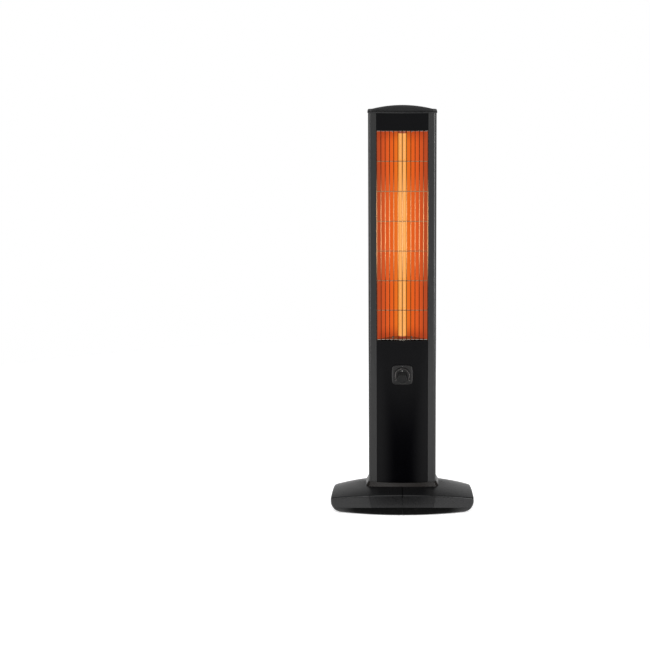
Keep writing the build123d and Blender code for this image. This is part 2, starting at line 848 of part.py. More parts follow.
grip_top_half = 10.0
grip_bottom_half = 20.0
grip_ridge = 2.0
grip_top = 9.0
grip_taper = 12.0
grip_rim_inset = 1.6
ramp_foot_inset = 4.5
grip_edge = 1.0
with BuildPart() as control_knob:
    with BuildSketch(Plane.YZ):
        with BuildLine():
            rim_y = knob_back_y - knob_skirt
            skirt = Polyline(
                (knob_back_y, dial_height),
                (knob_back_y, dial_height + knob_radius),
                (rim_y + knob_edge_depth, dial_height + knob_radius - knob_draft),
            )
            flat_edge = (rim_y, dial_height + knob_radius - knob_edge_round)
            round_edge = TangentArc(skirt @ 1, flat_edge, tangent=skirt % 1)
            Polyline(round_edge @ 1, (rim_y, dial_height), skirt @ 0)
        make_face()
    revolve(axis=Axis((0, 0, dial_height), (0, 1, 0)))
    with BuildPart(mode=Mode.PRIVATE) as grip:
        with BuildSketch(knob_plane.offset(knob_skirt - cut_reach)):
            with BuildLine():
                Polyline(
                    (-grip_bottom_half, -2 * knob_radius),
                    (grip_bottom_half, -2 * knob_radius),
                    (grip_top_half, grip_top),
                    (-grip_top_half, grip_top),
                    close=True,
                )
            make_face()
        extrude(amount=knob_grip + cut_reach, taper=grip_taper)
        with BuildSketch(knob_plane):
            Circle(knob_radius - grip_rim_inset)
        extrude(amount=knob_skirt + knob_grip, mode=Mode.INTERSECT)
        with BuildSketch(Plane.YZ.offset(-knob_radius)):
            with BuildLine():
                Polyline(
                    (knob_front_y - cut_reach, dial_height + grip_ridge),
                    (knob_front_y, dial_height + grip_ridge),
                    (rim_y + cut_reach, dial_height + knob_radius - ramp_foot_inset),
                    (rim_y + cut_reach, dial_height + 2 * knob_radius),
                    (knob_front_y - cut_reach, dial_height + 2 * knob_radius),
                    close=True,
                )
            make_face()
        extrude(amount=2 * knob_radius, mode=Mode.SUBTRACT)
        fillet(grip.faces().sort_by(Axis.Y)[0].edges(), grip_edge)
    add(grip.part)
    with BuildSketch(knob_plane):
        Circle(knob_pocket)
    extrude(amount=knob_back_y - bush_tip_y + shaft_step + pocket_gap, mode=Mode.SUBTRACT)
    with BuildSketch(knob_plane):
        add(shaft_section(running_clearance))
    extrude(amount=knob_back_y - shaft_tip_y + seat_clearance, mode=Mode.SUBTRACT)
finish(control_knob, "control_knob")

# ---------------------------------------------------------------- base: shells
hull_angles = (0, 30, 60, 90)
arch_radius = bow_radius(base_width / 2, skirt_arch_height - skirt_end_height)
base_boss_radius = 5.0
base_screw_radius = 1.9
base_screw_length = 12.0
boss_spread = 32.0
boss_inset_front = 27.0
boss_inset_rear = 20.0
end_boss_inset = 52.0
end_boss_front = 65.0
end_boss_rear = 52.0
end_boss_x = base_width / 2 - end_boss_inset
base_boss_spots = [
    (side * x, y)
    for x, y in (
        (boss_spread, base_front_y + boss_inset_front),
        (boss_spread, base_rear_y - boss_inset_rear),
        (end_boss_x, base_front_y + end_boss_front),
        (end_boss_x, base_rear_y - end_boss_rear),
    )
    for side in (-1, 1)
]
collar_sleeve = 2.0
collar_gap = 0.05
column_gap = 0.3
collar_flare = 4.6
collar_lip = 1.0
collar_rise = 7.5
collar_drop = 14.0


def hull_outline(angle, inset):
    """The rounded hull's plan, from its full width at angle 0 to the floor at 90."""
    share = 1 - cos(radians(angle))
    return base_outline(-hull_tuck_side * share - inset, -hull_tuck_front * share - inset)


def base_form(inset):
    """The base's outside, or the same form some way inside it: hull, walls and crown."""
    with BuildPart() as form:
        with BuildSketch(Plane.XY.offset(hull_rise)):
            add(base_outline(-inset, -inset))
        extrude(amount=2 * crown_height)
        add(
            crown(crown_height - inset, crown_side_radius - inset, crown_front_radius - inset, base_depth),
            mode=Mode.INTERSECT,
        )
        for angle in hull_angles:
            with BuildSketch(Plane.XY.offset(hull_rise - (hull_rise - hull_floor_gap) * sin(radians(angle)))):
                add(hull_outline(angle, inset))
        loft()
    return form.part


def crown_z(x, y):
    """Height of the base's top face over a point."""
    return crown_height - x**2 / (2 * crown_side_radius) - y**2 / (2 * crown_front_radius)


def crease_slabs():
    """Two thin slabs that run from the collar's corners over the front face to the skirt."""
    with BuildPart() as slabs:
        for side in (-1, 1):
            corner_z = crown_z(crease_spread_top, column_front_y)
            corner = Vector(side * crease_spread_top, column_front_y, corner_z)
            edge_x = side * (crease_spread_top + crease_spread_bottom) / 2
            edge = Vector(edge_x, base_front_y, crown_z(edge_x, base_front_y))
            foot = Vector(side * crease_spread_bottom, base_front_y, skirt_arch_height)
            normal = (edge - corner).cross(foot - edge).normalized()
            with BuildSketch(Plane(edge, x_dir=(edge - corner), z_dir=normal)):
                Rectangle(2 * column_setback, 2 * crown_height)
            extrude(amount=crease_width / 2, both=True)
    return slabs.part


with BuildPart() as crease:
    add(crease_slabs())
    with Locations((0, 0, skirt_arch_height / 2)):
        Box(2 * base_width, 2 * base_depth, skirt_arch_height, mode=Mode.SUBTRACT)
    with BuildSketch(Plane.XZ.offset(-base_depth)):
        with Locations((0, skirt_arch_height - arch_radius)):
            Circle(arch_radius + crease_width / 2)
            Circle(arch_radius - crease_width / 2, mode=Mode.SUBTRACT)
    extrude(amount=2 * base_depth)
    add(base_form(crease_depth), mode=Mode.SUBTRACT)

with BuildPart() as cavity:
    add(base_form(base_wall))
    with BuildSketch(Plane.XY):
        add(hull_outline(hull_angles[-1], base_wall))
    extrude(amount=column_bottom)
    with BuildSketch(Plane.XY.offset(column_bottom)):
        with Locations(*base_boss_spots):
            Circle(base_boss_radius)
    extrude(amount=2 * crown_height, mode=Mode.SUBTRACT)

with BuildPart() as base_body:
    add(base_form(0.0))
    fillet(base_body.faces().sort_by(Axis.Z)[-1].edges(), base_edge_radius)
    add(crease.part, mode=Mode.SUBTRACT)
    add(cavity.part, mode=Mode.SUBTRACT)
    with BuildSketch(Plane.XY.offset(column_bottom)):
        with Locations(*base_boss_spots):
            Circle(base_screw_radius)
    extrude(amount=base_screw_length, mode=Mode.SUBTRACT)
    with BuildSketch(Plane.XY.offset(hull_rise)):
        add(column_outline(column_gap + collar_sleeve + seat_clearance))
    extrude(amount=2 * crown_height, mode=Mode.SUBTRACT)
    with BuildSketch(Plane.XZ.offset(-2 * base_depth)):
        with Locations((0, gland_height)):
            Circle(gland_radius + seat_clearance)
    extrude(amount=2 * base_depth - base_rear_y + 4 * base_wall, mode=Mode.SUBTRACT)

with BuildPart() as base_half_right:
    add(base_body.part)
    split(bisect_by=Plane.YZ.offset(seam_gap / 2), keep=Keep.TOP)

with BuildPart() as base_half_left:
    mirror(base_half_right.part, about=Plane.YZ)

finish(base_half_left, "base_half_left")
finish(base_half_right, "base_half_right")

collar_top = crown_z(0, column_front_y) + collar_rise
with BuildPart() as base_collar:
    top_plane = Plane.XY.offset(collar_top)
    foot_plane = Plane.XY.offset(collar_top - 2 * collar_rise)
    with BuildSketch(top_plane):
        add(column_outline(column_gap + collar_lip))
    with BuildSketch(foot_plane):
        add(column_outline(column_gap + 2 * collar_flare))
    loft(ruled=True)
    add(
        crown(crown_height + collar_gap, crown_side_radius, crown_front_radius, base_depth),
        mode=Mode.SUBTRACT,
    )
    sleeve_plane = Plane.XY.offset(collar_top - collar_rise - collar_drop)
    with BuildSketch(sleeve_plane):
        add(column_outline(column_gap + collar_sleeve))
    extrude(amount=collar_drop + collar_rise / 2)
    with BuildSketch(sleeve_plane):
        add(column_outline(column_gap))
    extrude(amount=2 * collar_drop + 2 * collar_rise, mode=Mode.SUBTRACT)
finish(base_collar, "base_collar")

# ---------------------------------------------------------------- base: ballast, feet, gland
foot_x = base_width / 2 - foot_inset_x
foot_y = base_depth / 2 - foot_inset_y
foot_spots = [(x, y) for x in (-foot_x, foot_x) for y in (-foot_y, foot_y)]
screw_pocket = screw_head_spread * base_screw_radius + 2 * hole_clearance
pocket_depth = screw_head_rise * base_screw_radius + 2 * hole_clearance
switch_stand_off = 25.0
switch_x = -half_column - switch_stand_off
switch_y = 6.0
block_setback = 60.0
earth_offset = 30.0
earth_setback = 35.0
block_y = column_front_y + block_setback
earth_spot = (earth_offset, column_front_y + earth_setback)
ballast_plane = Plane.XY.offset(ballast_bottom)
with BuildPart() as ballast_plate:
    with BuildSketch(ballast_plane):
        add(hull_outline(hull_angles[-1], base_wall + slide_clearance))
    extrude(amount=ballast_thickness)
    port_spots = [(side * port_x, y) for y in port_y for side in (-1, 1)]
    screw_spots = base_boss_spots + port_spots
    with BuildSketch(ballast_plane):
        with Locations(*screw_spots):
            Circle(screw_pocket)
    extrude(amount=pocket_depth, mode=Mode.SUBTRACT)
    with BuildSketch(ballast_plane):
        with Locations(*screw_spots):
            Circle(base_screw_radius + running_clearance)
        with Locations(*foot_spots):
            Circle(foot_peg_radius + running_clearance)
        with Locations((switch_x, switch_y)):
            Circle(plunger_radius + hole_clearance)
        with Locations(earth_spot):
            Circle(base_screw_radius + running_clearance)
    extrude(amount=ballast_thickness, mode=Mode.SUBTRACT)
finish(ballast_plate, "ballast_plate")

with BuildPart() as single_foot:
    with BuildSketch(Plane.XZ):
        with BuildLine():
            Polyline(
                (0, 0),
                (foot_radius - foot_chamfer, 0),
                (foot_radius, foot_chamfer),
                (foot_radius, foot_height),
                (foot_peg_radius, foot_height),
                (foot_peg_radius, column_bottom),
                (foot_peg_radius + foot_peg_lip, column_bottom),
                (foot_peg_radius - foot_peg_lip, column_bottom + foot_peg_height),
                (0, column_bottom + foot_peg_height),
                close=True,
            )
        make_face()
    revolve(axis=Axis.Z)

with BuildPart() as rubber_feet:
    with Locations(*foot_spots):
        add(single_foot.part)
finish(rubber_feet, "rubber_feet")


def screws_up(spots, length):
    """Screws driven upwards from pockets in the ballast plate."""
    with BuildPart() as group:
        for x, y in spots:
            placed = Plane((x, y, ballast_bottom + pocket_depth), x_dir=(1, 0, 0), z_dir=(0, 0, -1))
            add(placed.from_local_coords(pan_screw(base_screw_radius, length)))
    return group.part


with BuildPart() as base_screws:
    add(screws_up(base_boss_spots, base_screw_length))
finish(base_screws, "base_screws")

with BuildPart() as column_screws:
    add(screws_up(port_spots, 2 * base_screw_length))
finish(column_screws, "column_screws")

with BuildPart() as cable_gland:
    gland_end_y = base_rear_y + gland_lip
    gland_inner_y = base_rear_y - base_wall - gland_clip_gap
    with BuildSketch(Plane.XZ.offset(-gland_end_y)):
        with Locations((0, gland_height)):
            Circle(gland_radius + gland_flange)
    extrude(amount=gland_lip - gland_lip_gap)
    with BuildSketch(Plane.XZ.offset(-gland_end_y)):
        with Locations((0, gland_height)):
            Circle(gland_radius)
    extrude(amount=gland_end_y - gland_inner_y)
    with BuildSketch(Plane.XZ.offset(-gland_inner_y)):
        with Locations((0, gland_height)):
            Circle(gland_radius + gland_clip)
    extrude(amount=gland_clip_height)
    with BuildSketch(Plane.XZ.offset(-gland_end_y)):
        with Locations((0, gland_height)):
            Circle(gland_bore)
    extrude(amount=base_depth, mode=Mode.SUBTRACT)
finish(cable_gland, "cable_gland")

# ---------------------------------------------------------------- tip-over switch
switch_wall = 1.5
switch_flank = 12.0
switch_corner = 1.0
stop_gap = 0.4
switch_bore = plunger_flange + hole_clearance
flange_bottom = column_bottom + plunger_travel + stop_gap
flange_height = 2.0
spring_room = 14.0
switch_height = flange_bottom + flange_height + spring_room + switch_wall - column_bottom
with BuildPart() as tip_switch_body:
    with BuildSketch(Plane.XY.offset(column_bottom)):
        with Locations((switch_x, switch_y)):
            RectangleRounded(2 * switch_bore + switch_flank, 2 * (switch_bore + switch_wall), switch_corner)
    extrude(amount=switch_height)
    with BuildSketch(Plane.XY.offset(column_bottom)):
        with Locations((switch_x, switch_y)):
            Circle(switch_bore)
    extrude(amount=switch_height - switch_wall, mode=Mode.SUBTRACT)
finish(tip_switch_body, "tip_switch_body")

guide_radius = 2.2
plunger_tip_round = 1.0
with BuildPart() as tip_plunger:
    with BuildSketch(Plane.XY):
        with Locations((switch_x, switch_y)):
            Circle(plunger_radius)
    extrude(amount=flange_bottom)
    fillet(tip_plunger.edges().group_by(Axis.Z)[0], plunger_tip_round)
    with BuildSketch(Plane.XY.offset(flange_bottom)):
        with Locations((switch_x, switch_y)):
            Circle(plunger_flange)
    extrude(amount=flange_height)
    with BuildSketch(Plane.XY.offset(flange_bottom + flange_height)):
        with Locations((switch_x, switch_y)):
            Circle(guide_radius)
    extrude(amount=spring_room / 2)
finish(tip_plunger, "tip_plunger")

spring_radius = (plunger_flange + guide_radius) / 2
spring_bottom = flange_bottom + flange_height + spring_wire + running_clearance
spring_rise = spring_room - 2 * spring_wire - 2 * running_clearance
spring_gap = spring_rise / spring_turns - 2 * spring_wire
print("least gap between the spring's turns, mm:", round(spring_gap, 2))
with BuildPart() as spring_coil:
    with BuildLine():
        coil = Helix(spring_rise / spring_turns, spring_rise, spring_radius)
    with BuildSketch(Plane(coil @ 0, z_dir=coil % 0)):
        Circle(spring_wire)
    sweep(is_frenet=True)

with BuildPart() as plunger_spring:
    with Locations((switch_x, switch_y, spring_bottom)):
        add(spring_coil.part)
finish(plunger_spring, "plunger_spring")

# ---------------------------------------------------------------- wiring
block_width = 40.0
block_depth = 16.0
block_height = 14.0
block_corner = 2.0
pole_pitch = 12.0
pole_radius = 2.5
with BuildPart() as terminal_block:
    with BuildSketch(Plane.XY.offset(column_bottom)):
        with Locations((0, block_y)):
            RectangleRounded(block_width, block_depth, block_corner)
    extrude(amount=block_height)
    with BuildSketch(Plane.XY.offset(column_bottom + block_height)):
        with Locations((0, block_y)):
            with GridLocations(pole_pitch, 1, 3, 1):
                Circle(pole_radius)
    extrude(amount=-block_height / 2, mode=Mode.SUBTRACT)
finish(terminal_block, "terminal_block")

with BuildPart() as earth_screw:
    placed = Plane((*earth_spot, column_bottom), x_dir=(1, 0, 0), z_dir=(0, 0, 1))
    add(placed.from_local_coords(pan_screw(base_screw_radius, ballast_thickness / 2)))
finish(earth_screw, "earth_screw")

lead_radius = 1.5
lead_bend = 9.0
lead_stand_off = 8.0
lead_rear_y = shield_back_y + shield_sheet + lead_stand_off
lead_drop_y = lamp_y + 2 * lead_bend + 2 * lead_radius
spade_end_y = regulator_rear_y + spade_length
spade_z = dial_height + spade_rise
upper_lead_z = pin_tip_upper - lead_radius
lower_lead_z = pin_tip_lower + lead_radius


def lead(name, *points):
    """A wire along straight runs joined by round bends."""
    with BuildPart() as wire:
        with BuildLine() as route:
            FilletPolyline(*points, radius=lead_bend)
        with BuildSketch(Plane(route.line @ 0, z_dir=route.line % 0)):
            Circle(lead_radius)
        sweep()
    finish(wire, name)
    return wire.part


upper_lead = lead(
    "upper_lead",
    (0, lamp_y + pin_radius, upper_lead_z),
    (0, lead_rear_y, upper_lead_z),
    (spade_pitch, lead_rear_y, spade_z + 3 * lead_bend),
    (spade_pitch, lead_rear_y, spade_z),
    (spade_pitch, spade_end_y, spade_z),
)
lower_lead = lead(
    "lower_lead",
    (0, lamp_y + pin_radius, lower_lead_z),
    (0, lead_drop_y, lower_lead_z),
    (-spade_pitch, lead_drop_y, spade_z),
    (-spade_pitch, spade_end_y, spade_z),
)
supply_lead = lead(
    "supply_lead",
    (0, spade_end_y, spade_z),
    (0, block_y, spade_z),
    (0, block_y, column_bottom + block_height / 2),
)
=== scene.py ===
"""Looks of a free-standing infrared patio heater tower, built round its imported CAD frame.

Metres, +Z up, the heater's front towards -Y. The frame gives the places and lengths of the pieces
that stand for its nodes. Finer sizes are set here.
"""

import logging
import math
from collections.abc import Iterable, Mapping, Sequence
from dataclasses import dataclass
from enum import Enum
from functools import cache, partial

import bmesh
import bpy
from bpy.types import Camera, Light, Material, Mesh, Node, NodeSocket, NodeTree, Object, World
from mathutils import Matrix, Vector


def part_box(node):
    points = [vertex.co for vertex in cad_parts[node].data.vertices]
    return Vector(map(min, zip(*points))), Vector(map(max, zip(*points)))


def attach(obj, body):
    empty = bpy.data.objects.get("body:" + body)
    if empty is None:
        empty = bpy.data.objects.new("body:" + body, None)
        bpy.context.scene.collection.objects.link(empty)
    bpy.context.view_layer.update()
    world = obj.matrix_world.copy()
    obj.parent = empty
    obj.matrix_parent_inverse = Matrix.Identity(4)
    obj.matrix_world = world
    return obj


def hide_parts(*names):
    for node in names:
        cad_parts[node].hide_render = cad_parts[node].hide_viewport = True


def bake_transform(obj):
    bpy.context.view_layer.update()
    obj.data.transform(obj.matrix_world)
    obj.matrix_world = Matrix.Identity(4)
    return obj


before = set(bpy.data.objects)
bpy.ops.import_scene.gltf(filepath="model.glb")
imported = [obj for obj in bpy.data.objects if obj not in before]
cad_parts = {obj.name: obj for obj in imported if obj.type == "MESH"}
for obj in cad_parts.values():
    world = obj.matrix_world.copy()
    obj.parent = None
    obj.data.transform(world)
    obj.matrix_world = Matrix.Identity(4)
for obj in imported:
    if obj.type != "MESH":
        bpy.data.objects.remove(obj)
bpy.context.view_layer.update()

log = logging.getLogger("heater")
MM = 0.001

Point = tuple[float, float, float]
Row = tuple[float, float]
Colour = tuple[float, float, float, float]


# ---------------------------------------------------------------- small tools
def linear(colour: str) -> Colour:
    """Turns an sRGB hex value into linear light.

    Args:
        colour: six hex digits after a hash sign.

    Returns:
        Red, green, blue and an alpha of 1.
    """
    shares = [int(colour[place : place + 2], 16) / 255 for place in (1, 3, 5)]
    light = [share / 12.92 if share <= 0.04045 else ((share + 0.055) / 1.055) ** 2.4 for share in shares]
    return (light[0], light[1], light[2], 1.0)


# Kinds of node that the trees use most, and the settings that two of them always take.
MATH, MIX, RANGE, NOISE = "ShaderNodeMath", "ShaderNodeMix", "ShaderNodeMapRange", "ShaderNodeTexNoise"
COLOURS = {"data_type": "RGBA"}
SMOOTH = {"interpolation_type": "SMOOTHSTEP"}


def add_node(tree: NodeTree, kind: str, inputs: dict | Sequence = (), **settings: object) -> NodeSocket:
    """Adds one node with its settings and links.

    Args:
        tree: the shader or geometry tree that gets the node.
        kind: the node's type name.
        inputs: values for its inputs or the outputs that feed them, by name, or in order for those in use.
        **settings: the node's own properties.

    Returns:
        The node's first output in use. A node that ends a tree has none.
    """
    node = tree.nodes.new(kind)
    for name, value in settings.items():
        setattr(node, name, value)
    if isinstance(inputs, dict):
        pairs = [(node.inputs[name], value) for name, value in inputs.items()]
    else:
        pairs = list(zip([socket for socket in node.inputs if socket.enabled], inputs))
    for socket, value in pairs:
        if isinstance(value, NodeSocket):
            tree.links.new(value, socket)
        else:
            socket.default_value = value
    return next((output for output in node.outputs if output.enabled), None)


def empty_tree(owner: Material | World) -> NodeTree:
    """Switches a material's or world's nodes on and returns its tree without the nodes it came with."""
    owner.use_nodes = True
    owner.node_tree.nodes.clear()
    return owner.node_tree


# ---------------------------------------------------------------- finishes
class Making(Enum):
    """How a surface was made, as the stretch of its fine pattern along X, Y and Z."""

    MOULDED = (1.0, 1.0, 1.0)
    SPRAYED = (1.0, 1.0, 0.8)
    EXTRUDED = (1.0, 1.0, 0.004)
    ROLLED = (0.02, 1.0, 1.0)
    DRAWN = (1.0, 1.0, 0.05)
    FIRED = (1.0, 1.0, 1.1)


# Octaves of a finish's fine grain and of its broad mottle, and the values that most of a noise lies between.
FINE_DETAIL, BROAD_DETAIL = 3.0, 2.0
NOISE_SPAN: Row = (0.3, 0.7)


def within(tree: NodeTree, height: object, bottom: float, top: float, fade: float) -> NodeSocket:
    """Marks the stretch between two heights.

    Args:
        tree: the tree.
        height: the output with the height in metres.
        bottom: the stretch's lower end in millimetres.
        top: its upper end in millimetres.
        fade: how far inside both ends the mark reaches its full value, in millimetres.

    Returns:
        The output with 1 inside the stretch and 0 outside it.
    """
    low = add_node(tree, RANGE, (height, bottom * MM, (bottom + fade) * MM), **SMOOTH)
    high = add_node(tree, RANGE, (height, top * MM, (top - fade) * MM), **SMOOTH)
    return add_node(tree, MATH, (low, high), operation="MINIMUM")


def feed(shader: Node, name: str) -> NodeSocket:
    """Returns the output that feeds one of a shader's inputs."""
    return shader.inputs[name].links[0].from_socket


@dataclass(frozen=True)
class Finish:
    """A surface, named for its material and how it was made. Lengths are in millimetres."""

    name: str
    colour: str
    shade: str
    making: Making
    roughness: float
    grain: float
    relief: float
    metallic: float = 0.0
    ior: float = 1.5
    specular: float = 0.5
    coat: float = 0.0
    coat_roughness: float = 0.1
    spread: float = 0.06
    mottle: float = 45.0

    def build(self) -> Material:
        """Builds the node material of this finish."""
        material = bpy.data.materials.new(self.name)
        tree = empty_tree(material)
        add = partial(add_node, tree)
        place = add("ShaderNodeTexCoord").node.outputs["Object"]
        turned = add("ShaderNodeMapping", {"Vector": place, "Scale": self.making.value})
        fine = add(NOISE, (turned, 1 / (self.grain * MM), FINE_DETAIL))
        broad = add(NOISE, (place, 1 / (self.mottle * MM), BROAD_DETAIL))
        dull, sleek = self.roughness + self.spread, self.roughness - self.spread
        inputs = {
            "Base Color": add(MIX, (broad, linear(self.colour), linear(self.shade)), **COLOURS),
            "Metallic": self.metallic,
            "Roughness": add(RANGE, (fine, *NOISE_SPAN, sleek, dull), **SMOOTH),
            "IOR": self.ior,
            "Specular IOR Level": self.specular,
            "Coat Weight": self.coat,
            "Coat Roughness": self.coat_roughness,
            "Normal": add("ShaderNodeBump", {"Height": fine, "Distance": self.relief * MM}),
        }
        shader = add("ShaderNodeBsdfPrincipled", inputs).node
        self.detail(tree, shader, place)
        add("ShaderNodeOutputMaterial", (shader.outputs[0],))
        return material

    def detail(self, tree: NodeTree, shader: Node, place: object) -> None:
        """Adds what only some finishes have. The plain finish has nothing more."""


@cache
def material_of(finish: Finish) -> Material:
    """Returns a finish's material, which is built once."""
    return finish.build()


@dataclass(frozen=True)
class HullFinish(Finish):
    """Moulded ABS: polished wings, a tongue between the creases and a coarsely grained hull, with painted
    shade on the tongue and in the hull's middle and a painted shadow along the seam.
    """

    skirt_middle: float = 22.0
    arch_radius: float = 1571.0
    tongue_foot: float = 76.0
    tongue_slant: float = 0.21
    # How much of the metallic input dulls the reflection, as painted shade, on the tongue, in the hull's
    # middle and at the hull's ends.
    tongue_painted_shade: float = 0.35
    hull_painted_shade: float = 0.92
    end_painted_shade: float = 0.0
    # Half width and foot of the band along the seam that is painted dark as its shadow.
    seam_shadow_half: float = 0.9
    seam_shadow_foot: float = 46.0
    end_start: float = 112.0
    end_reach: float = 162.0
    hull_grain: float = 1.6
    hull_detail: float = 4.0
    fleck_span: Row = (0.5, 0.72)
    hull_relief: float = 0.3
    hull_roughness: float = 0.4
    hull_colour: str = "#050505"
    hull_fleck: str = "#1a1a1a"

    def detail(self, tree: NodeTree, shader: Node, place: object) -> None:
        """Masks the hull under the arched skirt line, the tongue between the creases and a thin band along
        the seam.

        These places get a share of the metallic input, so that with their dark colour they give light back
        only at a glancing angle, as a black metal would. This is painted shade: on the tongue it stands in
        for the column's dark reflection, and in the hull's middle for the shade below its undercut. The seam
        band also takes the hull's dark colour, as a painted shadow. The share runs out towards the hull's
        ends.
        """
        add = partial(add_node, tree)
        across, _, height = add("ShaderNodeSeparateXYZ", (place,)).node.outputs
        square = add(MATH, (across, across), operation="MULTIPLY")
        bend = -0.5 / (self.arch_radius * MM)
        line = add(MATH, (square, bend, self.skirt_middle * MM), operation="MULTIPLY_ADD")
        hull = add(MATH, (height, line), operation="LESS_THAN")
        foot = (self.tongue_foot - self.tongue_slant * self.skirt_middle) * MM
        edge = add(MATH, (height, self.tongue_slant, foot), operation="MULTIPLY_ADD")
        side = add(MATH, (across,), operation="ABSOLUTE")
        tongue = add(MATH, (side, edge), operation="LESS_THAN")
        ends = (side, self.end_start * MM, self.end_reach * MM, self.hull_painted_shade, self.end_painted_shade)
        depth = add(RANGE, ends, **SMOOTH)
        hull_shade_share = add(MATH, (hull, depth), operation="MULTIPLY")
        tongue_shade_share = add(MATH, (tongue, self.tongue_painted_shade), operation="MULTIPLY")
        painted_shade = add(MATH, (hull_shade_share, tongue_shade_share), operation="MAXIMUM")
        # The band along the seam, above its foot, is a painted shadow.
        above = add(MATH, (height, self.seam_shadow_foot * MM), operation="GREATER_THAN")
        beside = add(MATH, (side, self.seam_shadow_half * MM), operation="LESS_THAN")
        seam = add(MATH, (beside, above), operation="MULTIPLY")
        grain = add(NOISE, (place, 1 / (self.hull_grain * MM), self.hull_detail))
        fleck = add(RANGE, (grain, *self.fleck_span), **SMOOTH)
        rough = add(MIX, (fleck, linear(self.hull_colour), linear(self.hull_fleck)), **COLOURS)
        # The hull takes its own dark grained colour; the seam band takes it as painted shadow.
        dark = add(MATH, (hull, seam), operation="MAXIMUM")
        rise = {
            "Height": add(MATH, (hull, grain), operation="MULTIPLY"),
            "Distance": self.hull_relief * MM,
            "Normal": feed(shader, "Normal"),
        }
        dull = add(MATH, (hull, self.hull_roughness), operation="MULTIPLY")
        results = {
            "Base Color": add(MIX, (dark, feed(shader, "Base Color"), rough), **COLOURS),
            "Metallic": add(MATH, (painted_shade, seam), operation="MAXIMUM"),
            "Roughness": add(MATH, (feed(shader, "Roughness"), dull), operation="MAXIMUM"),
            "Normal": add("ShaderNodeBump", rise),
        }
        for name, result in results.items():
            tree.links.new(result, shader.inputs[name])


@dataclass(frozen=True)
class BezelFinish(Finish):
    """Moulded ABS whose two upright flanks are paler than its face, as a painted highlight."""

    flank_highlight: str = "#2b2a2a"
    highlight_start: float = 21.2
    highlight_end: float = 22.4

    def detail(self, tree: NodeTree, shader: Node, place: object) -> None:
        """Blends the paler tone of the painted highlight in beyond some distance from the dial's upright
        middle line.
        """
        add = partial(add_node, tree)
        across = add("ShaderNodeSeparateXYZ", (place,))
        side = add(MATH, (across,), operation="ABSOLUTE")
        share = add(RANGE, (side, self.highlight_start * MM, self.highlight_end * MM), **SMOOTH)
        colour = add(MIX, (share, feed(shader, "Base Color"), linear(self.flank_highlight)), **COLOURS)
        tree.links.new(colour, shader.inputs["Base Color"])


@dataclass(frozen=True)
class PaintedGlowMirrorFinish(Finish):
    """Polished aluminium whose reflection of the lamp in its focus is painted in as a glow, brightest beside
    the lamp.
    """

    reach: float = 58.0
    bottom: float = 430.0
    top: float = 940.0
    end_fade: float = 34.0
    strength: float = 0.78
    # Colours of the painted reflection of the lamp, from the trough's middle out to its sides.
    glow: tuple[tuple[float, str], ...] = (
        (0.0, "#f98a36"),
        (0.22, "#f97c26"),
        (0.42, "#f56826"),
        (0.62, "#ec6028"),
        (0.8, "#da582a"),
        (1.0, "#b84828"),
    )
    end_glow: str = "#a83a20"
    end_share: float = 0.6

    def detail(self, tree: NodeTree, shader: Node, place: object) -> None:
        """Adds the painted glow across the trough, which reddens towards both ends."""
        add = partial(add_node, tree)
        across, _, height = add("ShaderNodeSeparateXYZ", (place,)).node.outputs
        side = add(MATH, (across,), operation="ABSOLUTE")
        share = add(MATH, (side, self.reach * MM), operation="DIVIDE")
        ramp = add("ShaderNodeValToRGB", (share,))
        stops = ramp.node.color_ramp.elements
        while len(stops) < len(self.glow):
            stops.new(0.5)
        for stop, (spot, colour) in zip(stops, self.glow, strict=True):
            stop.position = spot
            stop.color = linear(colour)
        inner = within(tree, height, self.bottom, self.top, self.end_fade)
        fade = add(MATH, (inner, -self.end_share, self.end_share), operation="MULTIPLY_ADD")
        colour = add(MIX, (fade, ramp, linear(self.end_glow)), **COLOURS)
        tree.links.new(colour, shader.inputs["Emission Color"])
        shader.inputs["Emission Strength"].default_value = self.strength


@dataclass(frozen=True)
class GlowingFinish(Finish):
    """A surface that shines by its own heat between two heights and is dull red beyond them."""

    hot: str = "#f9a950"
    cool: str = "#8c2a18"
    bottom: float = 434.0
    top: float = 936.0
    end_fade: float = 4.0
    strength: float = 0.95

    def detail(self, tree: NodeTree, shader: Node, place: object) -> None:
        """Adds the heat's own light between the two heights and a dull red beyond them."""
        height = add_node(tree, "ShaderNodeSeparateXYZ", (place,)).node.outputs["Z"]
        lit = within(tree, height, self.bottom, self.top, self.end_fade)
        colour = add_node(tree, MIX, (lit, linear(self.cool), linear(self.hot)), **COLOURS)
        tree.links.new(colour, shader.inputs["Emission Color"])
        shader.inputs["Emission Strength"].default_value = self.strength


@dataclass(frozen=True)
class PaintedReflectionWireFinish(Finish):
    """A chromed wire with painted reflection: pale as a painted highlight at the middle of the lamp and brown
    as painted shade towards its ends.
    """

    painted_dark_ends: str = "#4c2816"
    painted_highlight_bottom: float = 610.0
    painted_highlight_top: float = 795.0
    drift: float = 55.0

    def detail(self, tree: NodeTree, shader: Node, place: object) -> None:
        """Blends the painted brown shade in over some way above and below the pale stretch of painted
        highlight.
        """
        bottom, top = self.painted_highlight_bottom - self.drift, self.painted_highlight_top + self.drift
        height = add_node(tree, "ShaderNodeSeparateXYZ", (place,)).node.outputs["Z"]
        # The pale stretch is a painted highlight; the brown beyond it is painted shade.
        pale = within(tree, height, bottom, top, 2 * self.drift)
        colour = add_node(tree, MIX, (pale, linear(self.painted_dark_ends), feed(shader, "Base Color")), **COLOURS)
        tree.links.new(colour, shader.inputs["Base Color"])


# Anodised aluminium, extruded: satin, with faint die lines along its length.
RAIL_ALUMINIUM = Finish(
    "satin_black_anodised_aluminium", "#202020", "#1d1d1d", Making.EXTRUDED, 0.2, 2.4, 0.002, specular=0.32
)
